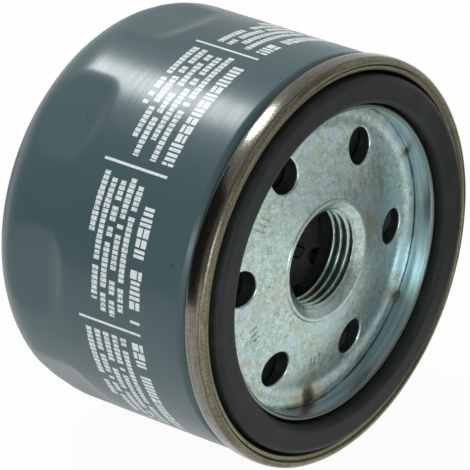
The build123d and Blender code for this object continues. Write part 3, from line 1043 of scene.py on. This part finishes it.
@dataclass
class CanShell:
    """Painted can: one sheet from the hook in the seam to the middle of the closed end."""

    radius: float = 37.3
    sheet: float = 0.5
    corner: float = 11.1
    hook_end: float = -4.7
    hook_top: float = -2.35
    hook_radius: float = 37.1
    neck_top: float = -2.75
    neck_radius: float = 35.9
    neck_foot: float = -6.0
    neck_back: float = -7.4
    panel_radius: float = 15.0
    panel_depth: float = 0.8
    panel_slope: float = 0.9
    bend: float = 0.7
    hook_bend: float = 0.5
    flat_count: int = 8
    flat_phase: float = -1.2
    flat_half_angle: float = 13.5
    flat_length: float = 20.2
    flat_ramp: float = 3.9
    flat_blend: float = 0.28
    ramp_end: float = 1.2
    columns: int = 480

    def section(self, end: float) -> Points:
        """Middle of the sheet from the closed end's centre out to the wall and on to the hook.

        Args:
            end: place of the closed end along the axis.

        Returns:
            Rows of (x, radius).
        """
        middle = end + self.sheet / 2
        wall = self.radius - self.sheet / 2
        corners = [
            (middle + self.panel_depth, 0.0),
            (middle + self.panel_depth, self.panel_radius - self.sheet / 4),
            (middle, self.panel_radius + self.panel_slope),
            (middle, wall),
            (self.neck_back, wall),
            (self.neck_foot, self.neck_radius),
            (self.neck_top, self.neck_radius),
            (self.hook_top, self.hook_radius),
            (self.hook_end, self.hook_radius),
        ]
        radii = [self.bend] * 2 + [self.corner - self.sheet / 2] + [self.bend] * 2 + [self.hook_bend] * 2
        return rounded_path(corners, radii, 0.9, 13)

    def press_flats(self, grid: Points, end: float, inset: float) -> Points:
        """Press the wrench flats into a surface of revolution.

        A flat at distance d from the axis and at an angle f to a point limits the point's radius to
        d over the cosine of f. Along the ramp the distance grows by an arc that is tangent to the
        flat: by its radius less the root of that radius squared less the place on the ramp squared.
        The smaller of the radius and the limit is taken with a soft corner, which is the polynomial
        smooth minimum.

        Args:
            grid: points of the surface.
            end: place of the closed end along the axis.
            inset: depth of the surface under the outer one.

        Returns:
            The points with the flats pressed in.
        """
        x, y, z = grid[..., 0], grid[..., 1], grid[..., 2]
        radius = np.hypot(y, z)
        angle = np.arctan2(z, y)
        step = 2 * math.pi / self.flat_count
        phase = math.radians(self.flat_phase)
        from_flat = (angle - phase + step / 2) % step - step / 2
        flat = self.radius * math.cos(math.radians(self.flat_half_angle))
        depth = self.radius - flat
        bend = (self.flat_ramp**2 + depth**2) / (2 * depth)
        foot = end + self.flat_length - self.flat_ramp
        along = np.clip(x - foot, 0, self.flat_ramp + self.ramp_end)
        distance = flat + bend - np.sqrt(bend**2 - along**2) - inset
        limit = distance / np.cos(from_flat)
        share = np.clip(0.5 + 0.5 * (limit - radius) / self.flat_blend, 0, 1)
        soft = limit + (radius - limit) * share - self.flat_blend * share * (1 - share)
        scale = np.where(radius > ON_AXIS, soft / np.maximum(radius, ON_AXIS), 1.0)
        return np.stack([x, y * scale, z * scale], axis=2)

    def build(self) -> Piece:
        """Outer side out to the hook, then the inner side back to the centre.

        Returns:
            The shell.
        """
        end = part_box("can")[0][0] / MM
        middle = self.section(end)
        outer = turned(offset_path(middle, self.sheet / 2), self.columns)
        inner = turned(offset_path(middle, -self.sheet / 2)[::-1], self.columns)
        sides = [self.press_flats(outer, end, 0.0), self.press_flats(inner, end, self.sheet)]
        shell = Patchwork().add(np.concatenate(sides)).build("can_shell")
        return dress(shell, Finish.PAINT, "housing", "can")


@dataclass
class SeamLid:
    """Lid sheet: the rolled seam, the gasket's channel and the folded bead inside it."""

    seam_radius: float = 38.0
    sheet: float = 0.5
    seam_front: float = -1.2
    seam_back: float = -5.7
    slope: float = 0.8
    hook_radius: float = 36.5
    hook_end: float = -3.5
    wall_radius: float = 35.3
    floor: float = -5.8
    bead_outer: float = 29.1
    bead_inner: float = 28.55
    bead_top: float = -2.3
    bead_foot: float = -6.0
    columns: int = 360
    valley: float = 0.34
    barrel: float = 0.20
    waviness: float = 0.014
    crest_width: float = 0.35
    valley_width: float = 0.15
    shoulder: float = 0.45
    bends: tuple[float, ...] = (0.59, 0.80, 0.75, 0.30, 0.30, 0.25, 0.25, 0.6, 0.5, 0.27, 0.27)

    def section(self) -> Points:
        """Middle of the sheet from its hook, over the seam and down the channel to the bead.

        Returns:
            Rows of (x, radius).
        """
        half = self.sheet / 2
        outer = self.seam_radius - half
        corners = [
            (self.hook_end, self.hook_radius),
            (self.seam_back + half, self.hook_radius),
            (self.seam_back + half, outer),
            (self.seam_front - half, outer),
            (self.seam_front - half, self.hook_radius + self.crest_width),
            (self.seam_front - half - self.valley, self.hook_radius - self.valley_width),
            (self.seam_front - half - self.valley * 0.75, self.wall_radius + self.shoulder),
            (self.seam_front - half - self.slope, self.wall_radius),
            (self.floor, self.wall_radius),
            (self.floor, self.bead_outer),
            (self.bead_top, self.bead_outer),
            (self.bead_top, self.bead_inner),
            (self.bead_foot, self.bead_inner),
        ]
        return rounded_path(corners, list(self.bends), 0.35, 11)

    def build(self) -> Piece:
        """Both sides of the sheet turned round the axis, barrelled and with the waves of rolling.

        The radius of the outer wall falls by the square of the distance from the middle of the seam,
        and by the most that three sines of the angle add up to less their sum.

        Returns:
            The lid.
        """
        grid = turned(sheet_loop(self.section(), self.sheet), self.columns)
        radius = np.hypot(grid[..., 1], grid[..., 2])
        angle = np.arctan2(grid[..., 2], grid[..., 1])
        waves = np.sin(9 * angle) + 0.7 * np.sin(23 * angle + 1.0) + 0.5 * np.sin(41 * angle + 2.0)
        middle = (self.seam_front + self.seam_back) / 2
        off_middle = (grid[..., 0] - middle) / (self.seam_front - middle)
        outside = np.clip((radius - self.hook_radius) / 0.6, 0, 1)
        inwards = (self.waviness * (waves - 2.2) - self.barrel * off_middle**2) * outside
        scale = (1 + inwards / radius)[..., None]
        grid = np.concatenate([grid[..., :1], grid[..., 1:] * scale], axis=2)
        lid = Patchwork().add(grid, wrap_rows=True).build("rolled_lid")
        return dress(lid, Finish.SEAM, "housing", "gasket_retainer")


@dataclass
class SealRing:
    """Square-section gasket with rounded front edges."""

    inner: float = 29.65
    outer: float = 34.85
    edge: float = 1.3
    back_edge: float = 0.3
    columns: int = 300

    def build(self) -> Piece:
        """Closed section with rounded corners, turned round the axis.

        Returns:
            The ring.
        """
        low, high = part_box("gasket")
        back, front = low[0] / MM, high[0] / MM
        middle = (self.inner + self.outer) / 2
        corners = [(back, middle), (back, self.outer), (front, self.outer), (front, self.inner),
                   (back, self.inner), (back, middle)]
        section = rounded_path(corners, [self.back_edge, self.edge, self.edge, self.back_edge], 0.4, 13)
        ring = Patchwork().add(turned(section[:-1], self.columns), wrap_rows=True).build("seal_ring")
        return dress(ring, Finish.GASKET, "housing", "gasket")


@dataclass
class BasePlate:
    """Pressed plate with a domed hub, a helical internal thread and six oil inlets."""

    radius: float = 35.0
    sheet: float = 2.5
    front: float = -6.1
    groove_outer: float = 27.3
    groove_depth: float = 0.6
    dome: float = 1.95
    dome_outer: float = 25.15
    coin_radius: float = 11.3
    coin_height: float = 0.3
    coin_slope: float = 0.2
    coin_edge: float = 0.12
    dome_bend: float = 4.0
    rim_front_edge: float = 0.25
    rim_back_edge: float = 0.4
    sink_radius: float = 10.77
    sink_depth: float = 1.5
    collar_back: float = -10.455
    collar_radius: float = 12.0
    collar_edge: float = 0.6
    collar_bend: float = 0.3
    thread_major: float = 9.525
    thread_pitch: float = 1.5875
    first_crest: float = -4.9
    crest_angle: float = -36.0
    crest_softness: float = 0.3
    crest_half: float = 0.07
    root_half: float = 1 / 16
    thread_corner: float = 0.02
    flank_points: int = 13
    back_lead: float = 0.5
    inlets: int = 6
    inlet_radius: float = 3.3
    inlet_pitch: float = 21.25
    inlet_phase: float = 56.4
    inlet_edge: float = 0.4
    patch_inner: float = 16.7
    patch_outer: float = 25.9
    arc_steps: int = 40
    side_steps: int = 24
    rim_inset: float = 0.3
    edge_points: int = 7
    patch_rings: int = 10
    patch_crowding: float = 1.35
    wall_rings: int = 5

    @property
    def columns(self) -> int:
        """Steps round the axis, so that the rings meet the patches round the inlets."""
        return self.arc_steps * self.inlets

    @property
    def start(self) -> float:
        """Angle of the first patch's side, where the rings start too."""
        return math.radians(self.inlet_phase - 180 / self.inlets)

    @property
    def back(self) -> float:
        """Back face of the plate."""
        return self.front - self.sheet

    @property
    def sink_back(self) -> float:
        """Foot of the countersink."""
        return self.hub_face - self.sink_depth

    @property
    def hub_face(self) -> float:
        """Face of the raised ring round the bore."""
        return self.front + self.dome + self.coin_height

    @property
    def minor(self) -> float:
        """Radius of the thread's crests, which a standard thread has 0.541266 pitches in."""
        return self.thread_major - 0.541266 * self.thread_pitch

    def front_section(self) -> Points:
        """Front face from the mouth of the bore out to the rim.

        Returns:
            Rows of (x, radius).
        """
        corners = [
            (self.hub_face, self.sink_radius),
            (self.hub_face, self.coin_radius),
            (self.front + self.dome, self.coin_radius + self.coin_slope),
            (self.front - self.groove_depth, self.dome_outer),
            (self.front, self.groove_outer),
            (self.front, self.radius),
        ]
        return rounded_path(corners, [self.coin_edge] * 2 + [self.dome_bend] * 2, 0.5, 9)

    def ring(self, section: Points) -> Points:
        """Surface of revolution whose columns start at the first patch's side."""
        return turned(section, self.columns, self.start)

    def inlet_patch(self, number: int, section: Points) -> Points:
        """Front face, wall and back face round one inlet, as rings about the hole.

        The outermost ring is the border of a sixth of the plate between two radii. Each point of it
        is joined to the hole's centre by a straight line, and the other rings lie on those lines. The
        front edge of the hole is a quarter round: at a distance d inside its radius e, the face drops
        by e less the root of e squared less (e - d) squared.

        Args:
            number: the inlet's number.
            section: front face of the plate, as (x, radius).

        Returns:
            The rings, from the front's border over the wall to the back's border.
        """
        half = math.pi / self.inlets
        middle = math.radians(self.inlet_phase) + number * 2 * half
        arcs = np.arange(self.arc_steps) / self.arc_steps
        sides = np.arange(self.side_steps) / self.side_steps
        inner, outer = self.patch_inner, self.patch_outer
        angle = middle + np.concatenate(
            [-half + 2 * half * arcs, np.full(self.side_steps, half), half - 2 * half * arcs,
             np.full(self.side_steps, -half)]
        )
        radius = np.concatenate(
            [np.full(self.arc_steps, inner), inner + (outer - inner) * sides,
             np.full(self.arc_steps, outer), outer - (outer - inner) * sides]
        )
        centre = self.inlet_pitch * np.array([math.cos(middle), math.sin(middle)])
        spoke = radius[:, None] * np.stack([np.cos(angle), np.sin(angle)], axis=1) - centre
        length = np.linalg.norm(spoke, axis=1)
        spoke /= length[:, None]
        turn = np.linspace(0, math.pi / 2, self.edge_points)
        near = self.inlet_radius + self.inlet_edge * (1 - np.cos(turn))
        spread = np.linspace(0, 1, self.patch_rings)[1:] ** self.patch_crowding
        far = near[-1] + (length[:, None] - near[-1]) * spread[None, :]
        reach = np.concatenate([np.tile(near, (len(length), 1)), far], axis=1)
        drop = np.concatenate([self.inlet_edge * (1 - np.sin(turn)), np.zeros(len(spread))])
        flat = centre + spoke[:, None, :] * reach[..., None]
        height = np.interp(np.hypot(flat[..., 0], flat[..., 1]), section[:, 1], section[:, 0]) - drop
        front = np.concatenate([height[..., None], flat], axis=2)
        back = np.concatenate([np.full_like(height, self.back)[..., None], flat], axis=2)
        foot = np.full((len(length), 1), self.back)
        wall = np.concatenate([foot, centre + spoke * self.inlet_radius], axis=1)
        down = np.linspace(0, 1, self.wall_rings)[1:, None, None]
        tube = front[None, :, 0] + (wall - front[:, 0])[None] * down
        return np.concatenate([np.moveaxis(front, 1, 0)[::-1], tube, np.moveaxis(back, 1, 0)[1:]])

    def thread_grid(self) -> Points:
        """Wall of the threaded bore, from the countersink's mouth to the back of the collar.

        Each row keeps one place on the thread's section and climbs one pitch in a turn, so crests and
        roots are true helices. Rows are held at the bore's two ends, and the radius there is the
        section's at that place. Crests are about a seventh of a pitch wide, roots an eighth, and the
        flanks are straight, with a parabola where they leave the crest. The radius is the largest of
        the thread's, the countersink's cone and the lead at the back.

        Returns:
            The grid, from the front to the back.
        """
        pitch, top, corner = self.thread_pitch, self.hub_face, self.thread_corner
        crest, root = self.crest_half, 0.5 - self.root_half
        knots = np.array([0, crest - corner, crest, crest + corner, root - corner, root, root + corner, 0.5])
        flank = np.linspace(crest, root, self.flank_points)
        marks = np.unique(np.concatenate([knots, flank, 1 - knots, 1 - flank]))[:-1]
        turns = math.ceil((top - self.collar_back) / pitch) + 2
        phase = (np.arange(turns)[:, None] + marks[None, :]).ravel() - 1.0
        angle = np.linspace(0, 2 * math.pi, self.columns + 1)
        shift = (angle - math.radians(self.crest_angle)) / (2 * math.pi)
        x = np.clip(self.first_crest - (phase[:, None] - shift[None, :]) * pitch, self.collar_back, top)
        local = (self.first_crest - x) / pitch + shift[None, :]
        fold = np.abs((local + 0.5) % 1 - 0.5)
        depth = np.clip((fold - crest) / (root - crest), 0, 1)
        soft = self.crest_softness
        depth = np.where(depth < soft, depth**2 / (2 * soft), depth - soft / 2) / (1 - soft / 2)
        radius = self.minor + (self.thread_major - self.minor) * depth
        into_mouth = np.clip((x - self.sink_back) / self.sink_depth, 0, 1)
        mouth = self.minor + (self.sink_radius - self.minor) * into_mouth
        lead = self.minor + self.back_lead - (x - self.collar_back)
        radius = np.maximum(radius, np.maximum(mouth, lead))
        radius = np.where(x >= top, self.sink_radius, radius)
        return swept(x, radius, angle + self.start)

    def build(self) -> Piece:
        """Rings inside and outside the inlets, the patches round them, the thread and the collar.

        Returns:
            The plate.
        """
        section = self.front_section()
        inner_x, outer_x = np.interp([self.patch_inner, self.patch_outer], section[:, 1], section[:, 0])
        inside = section[section[:, 1] < self.patch_inner - ON_AXIS]
        plate = Patchwork().add(self.ring(np.vstack([inside, [inner_x, self.patch_inner]])))
        for number in range(self.inlets):
            plate.add(self.inlet_patch(number, section))
        rim_start = self.radius - self.rim_inset
        outside = section[(section[:, 1] > self.patch_outer + ON_AXIS) & (section[:, 1] < rim_start)]
        rim_corners = [(self.front, rim_start), (self.front, self.radius), (self.back, self.radius),
                       (self.back, self.patch_outer)]
        rim = rounded_path(rim_corners, [self.rim_front_edge, self.rim_back_edge], 1.2, 7)
        plate.add(self.ring(np.vstack([[outer_x, self.patch_outer], outside, rim])))
        thread = self.thread_grid()
        plate.add(thread, wrap_columns=False)
        mouth_radius = float(np.hypot(thread[-1, 0, 1], thread[-1, 0, 2]))
        collar_corners = [(self.collar_back, mouth_radius + self.collar_edge),
                          (self.collar_back, self.collar_radius), (self.back, self.collar_radius),
                          (self.back, self.patch_inner)]
        collar = rounded_path(collar_corners, [self.collar_bend] * 2, 0.8, 7)
        plate.add(np.concatenate([thread[-1:, :-1], self.ring(collar)]))
        return dress(plate.build("hub_plate", 30.0), Finish.ZINC, "housing", "base_plate")


@dataclass
class WeldBeads:
    """Six small uneven beads of metal at the foot of the folded bead."""

    count: int = 6
    phase: float = 25.2
    radius: float = 28.0
    arc: float = 5.5
    width: float = 1.0
    height: float = 0.42
    heaviest: float = 265.2
    base: float = -6.1
    steps: int = 33
    around: int = 24
    seed: int = 7

    def build(self) -> Piece:
        """Each bead is an ellipse carried along an arc that tapers at both ends.

        Width and height follow the root of one less the square of the place along the arc, and a few
        sines with chance phases make them uneven. A bead's size falls with the cosine of its angle
        from the heaviest.

        Returns:
            All the beads as one piece.
        """
        chance = np.random.default_rng(self.seed)
        beads = Patchwork()
        along = np.linspace(-1, 1, self.steps)
        round_it = np.linspace(0, 2 * math.pi, self.around, endpoint=False)
        for number in range(self.count):
            shift = chance.uniform(0, 2 * math.pi, 3)
            uneven = 1 + 0.10 * np.sin(7 * along + shift[0]) + 0.06 * np.sin(15 * along + shift[1])
            taper = np.sqrt(np.clip(1 - along**2, 0, 1)) * uneven
            place = self.phase + 360 / self.count * number
            size = 0.70 + 0.30 * math.cos(math.radians(place - self.heaviest))
            taper = (taper / taper.max() * size)[:, None]
            sideways = self.width / 2 * taper * np.cos(round_it)
            lift = self.height / 2 * taper * (np.sin(round_it) + 1)
            angle = math.radians(place) + np.radians(self.arc / 2 * size) * along
            beads.add(swept(self.base + lift, self.radius + sideways, angle[:, None]))
        return dress(beads.build("weld_beads"), Finish.WELD, "housing", "weld_spots")


# ---------------------------------------------------------------- inside


@dataclass
class Springs:
    """The two springs that give when a valve lifts."""

    coil_radius: float = 5.0
    wire: float = 0.8
    turns: float = 3.5
    coil_travel: float = 3.0
    ring_travel: float = 1.0
    closing: float = 0.004
    columns: int = 420
    around: int = 14

    def coil(self) -> Piece:
        """Round wire along a helix.

        The wire's middle goes round the axis at the coil's radius while x rises evenly, and the
        wire's own circle lies in the plane of the radius and the axis. It shrinks to a point at both
        ends.

        Returns:
            The coil spring.
        """
        low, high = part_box("bypass_spring")
        back, front = low[0] / MM, high[0] / MM
        turn = np.linspace(0, 1, self.columns)[:, None]
        angle = turn * self.turns * 2 * math.pi
        ring = np.linspace(0, 2 * math.pi, self.around, endpoint=False)
        rise = front - back - self.wire
        close = np.clip(np.minimum(turn, 1 - turn) / self.closing, 0, 1)
        x = back + self.wire / 2 + rise * turn + self.wire / 2 * np.sin(ring) * close
        radius = self.coil_radius + self.wire / 2 * np.cos(ring) * close
        wire = Patchwork().add(swept(x, radius, angle)).build("coil_spring")
        piece = dress(wire, Finish.SPRING, "housing", "bypass_spring")
        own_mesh(piece)
        return piece

    def slotted_ring(self) -> Piece:
        """Copy of the slotted ring's mesh, tidied, on a piece of its own.

        Returns:
            The slotted ring.
        """
        mesh = bpy.data.objects["drainback_spring"].data.copy()
        tidy_mesh(mesh)
        piece = dress(placed("slotted_spring", mesh), Finish.SPRING, "housing", "drainback_spring")
        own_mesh(piece)
        return piece

    def build(self) -> None:
        """Both springs."""
        self.coil()
        self.slotted_ring()


@dataclass
class Insides:
    """Inner nodes that keep their CAD shape and get their finish."""

    finishes: tuple[tuple[Finish, tuple[str, ...]], ...] = (
        (Finish.SEALANT, ("seam_compound",)),
        (Finish.VALVE, ("drainback_valve", "element_grommet", "bypass_seal")),
        (Finish.TINNED, ("front_end_cap", "rear_end_cap", "center_tube", "media_seam_clip",
                         "bypass_valve_body", "bypass_poppet")),
        (Finish.PLASTISOL, ("front_adhesive", "rear_adhesive")),
        (Finish.PAPER, ("pleated_media",)),
        (Finish.SPRING, ("hold_down_spring",)),
    )

    def build(self, nodes: dict[str, Piece]) -> None:
        """Give every slot of each node the finish's material.

        Args:
            nodes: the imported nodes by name.
        """
        for finish, names in self.finishes:
            for name in names:
                for slot in nodes[name].material_slots:
                    slot.material = finish.material()
                log.info("%s keeps its shape, finish %s", name, finish.slot)


# ---------------------------------------------------------------- studio


@dataclass(frozen=True)
class SoftBox:
    """Rectangular lamp that faces a point, in metres and watts."""

    name: str
    place: tuple[float, float, float]
    size: tuple[float, float]
    power: float
    tint: tuple[float, float, float] = (1.0, 1.0, 1.0)
    target: tuple[float, float, float] = (-0.025, 0.0, 0.0)

    def build(self) -> Piece:
        """Area lamp whose -Z axis points at the target, with its own Y as near upright as it can be.

        Returns:
            The lamp.
        """
        data = bpy.data.lights.new(self.name, "AREA")
        data.shape = "RECTANGLE"
        data.size, data.size_y = self.size
        data.energy = self.power
        data.color = self.tint
        lamp = placed(self.name, data)
        aim = (Vector(self.target) - Vector(self.place)).to_track_quat("-Z", "Y")
        lamp.matrix_world = Matrix.Translation(self.place) @ aim.to_matrix().to_4x4()
        return lamp


def flat_card(name: str, corners: list[tuple[float, ...]], material: Material) -> Piece:
    """Four-cornered face of one material, for the stage.

    Args:
        name: the card's name.
        corners: its corners in order, in metres.
        material: its material.

    Returns:
        The card.
    """
    mesh = bpy.data.meshes.new(name)
    mesh.from_pydata(corners, [], [(0, 1, 2, 3)])
    mesh.materials.append(material)
    return placed(name, mesh)


@dataclass(frozen=True)
class Flag:
    """Upright dark card that only glossy surfaces see, in metres and degrees."""

    name: str
    azimuth: float
    distance: float
    width: float
    low: float
    high: float
    centre: tuple[float, float] = (-0.01, 0.0)
    shade: float = 0.02

    def build(self) -> Piece:
        """Vertical rectangle at right angles to its azimuth from the centre.

        Returns:
            The card.
        """
        turn = math.radians(self.azimuth)
        heading = np.array([math.cos(turn), math.sin(turn)])
        across = np.array([-heading[1], heading[0]]) * self.width / 2
        middle = np.array(self.centre) + heading * self.distance
        foot = [middle - across, middle + across]
        corners = [(*foot[0], self.low), (*foot[1], self.low), (*foot[1], self.high), (*foot[0], self.high)]
        graph = Graph(bpy.data.materials.new(self.name))
        dark = graph.add("ShaderNodeEmission", {"Color": grey(1.0), "Strength": self.shade})
        card = flat_card(self.name, [tuple(map(float, corner)) for corner in corners], graph.output(dark))
        card.visible_camera = False
        card.visible_diffuse = False
        card.visible_shadow = False
        card.visible_transmission = False
        card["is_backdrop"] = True
        return card


@dataclass
class Studio:
    """Floor, sky, soft boxes, dark cards and camera."""

    azimuth: float = 39.65
    elevation: float = 24.52
    distance: float = 0.8305
    aside: float = -0.01846
    above: float = 0.0053
    seam_front: float = -0.0012
    lens: float = 358.8
    floor_half: float = 4.0
    floor_colour: Colour = (0.90, 0.90, 0.90, 1.0)
    floor_glow: float = 0.95
    backdrop: float = 0.68
    dark_side: float = 0.34
    zenith: float = 0.42
    boxes: tuple[SoftBox, ...] = (
        SoftBox("key", (-0.565, 0.018, 0.72), (0.20, 0.10), 3.5, (0.93, 0.98, 1.0)),
        SoftBox("fill", (0.62, -0.64, 0.15), (0.20, 0.22), 1.9, (0.86, 0.94, 1.0)),
    )
    flags: tuple[Flag, ...] = (
        Flag("left_flag", -138.0, 0.16, 0.17, -0.03, 0.15),
        Flag("right_flag", 76.0, 0.075, 0.07, -0.0378, -0.004, (0.0, 0.0), 0.24),
        Flag("far_flag", 50.0, 0.15, 0.10, -0.0378, -0.006, (0.0, 0.0), 0.40),
        Flag("back_flag", 140.0, 0.09, 0.16, -0.0378, 0.0, (-0.03, 0.0), 0.30),
    )

    def camera(self) -> None:
        """Long lens on the ray that leaves the seam's middle at the azimuth and elevation."""
        turn, lift = math.radians(self.azimuth), math.radians(self.elevation)
        right = Vector((math.cos(turn), math.sin(turn), 0))
        up = Vector((-math.sin(turn) * math.sin(lift), math.cos(turn) * math.sin(lift), math.cos(lift)))
        back = Vector((math.sin(turn) * math.cos(lift), -math.cos(turn) * math.cos(lift), math.sin(lift)))
        data = bpy.data.cameras.new("camera")
        data.lens = self.lens
        data.sensor_width = 36.0
        data.clip_start = 0.05
        data.clip_end = 20.0
        seat = Vector((self.seam_front, 0, 0)) + right * self.aside + up * self.above + back * self.distance
        turned_axes = Matrix((right, up, back)).transposed().to_4x4()
        camera = placed("camera", data)
        camera.matrix_world = Matrix.Translation(seat) @ turned_axes
        bpy.context.scene.camera = camera

    def seen(self, graph: Graph) -> Wire:
        """One for rays from the camera, from gloss and through glass, nothing for the rest.

        Args:
            graph: the tree to add to.

        Returns:
            The share that such rays see.
        """
        rays = graph.add("ShaderNodeLightPath")
        glossy, through = rays.other("Is Glossy Ray"), rays.other("Is Transmission Ray")
        return rays.other("Is Camera Ray").larger(glossy).larger(through)

    def floor(self) -> None:
        """Pale floor under the lowest point of the object, white to the eye with a soft shadow."""
        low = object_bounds()[0][2]
        half = self.floor_half
        corners = [(-half, -half, low), (half, -half, low), (half, half, low), (-half, half, low)]
        graph = Graph(bpy.data.materials.new("floor"))
        lit = graph.add("ShaderNodeBsdfDiffuse", {"Color": self.floor_colour})
        glow = graph.add("ShaderNodeEmission", {"Color": grey(1.0), "Strength": 1.0})
        mixed = graph.add("ShaderNodeMixShader", {0: self.seen(graph) * self.floor_glow, 1: lit, 2: glow})
        floor = flat_card("floor", corners, graph.output(mixed))
        floor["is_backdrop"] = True

    def sky(self) -> None:
        """Light all round: bright from the backdrop behind the object, dim from the camera's side.

        The part of a direction that points away from the camera, level with the ground, is its dot
        product with the camera's level heading. It blends the dim side into the backdrop, and height
        blends both into the zenith.
        """
        turn = math.radians(self.azimuth)
        world = bpy.data.worlds.new("sky")
        bpy.context.scene.world = world
        graph = Graph(world)
        x, y, z = graph.split(graph.add("ShaderNodeTexCoord"))
        away = x * -math.sin(turn) + y * math.cos(turn)
        level = self.dark_side + away.step(-0.25, 0.45) * (self.backdrop - self.dark_side)
        strength = level + (self.zenith - level) * z.step(0.35, 0.95)
        graph.output(graph.add("ShaderNodeBackground", {"Color": grey(1.0), "Strength": strength}), "World")

    def build(self) -> None:
        """The whole studio."""
        bpy.context.scene.view_settings.view_transform = "Standard"
        self.camera()
        self.floor()
        self.sky()
        for item in (*self.boxes, *self.flags):
            item.build()


def main() -> None:
    """Load the frame, build and dress every piece and set up the studio."""
    logging.basicConfig(level=logging.INFO, format="%(name)s: %(message)s")
    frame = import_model()
    CanShell().build()
    SeamLid().build()
    SealRing().build()
    BasePlate().build()
    WeldBeads().build()
    Springs().build()
    Insides().build(frame["nodes"])
    Studio().build()


if __name__ == "__main__":
    main()
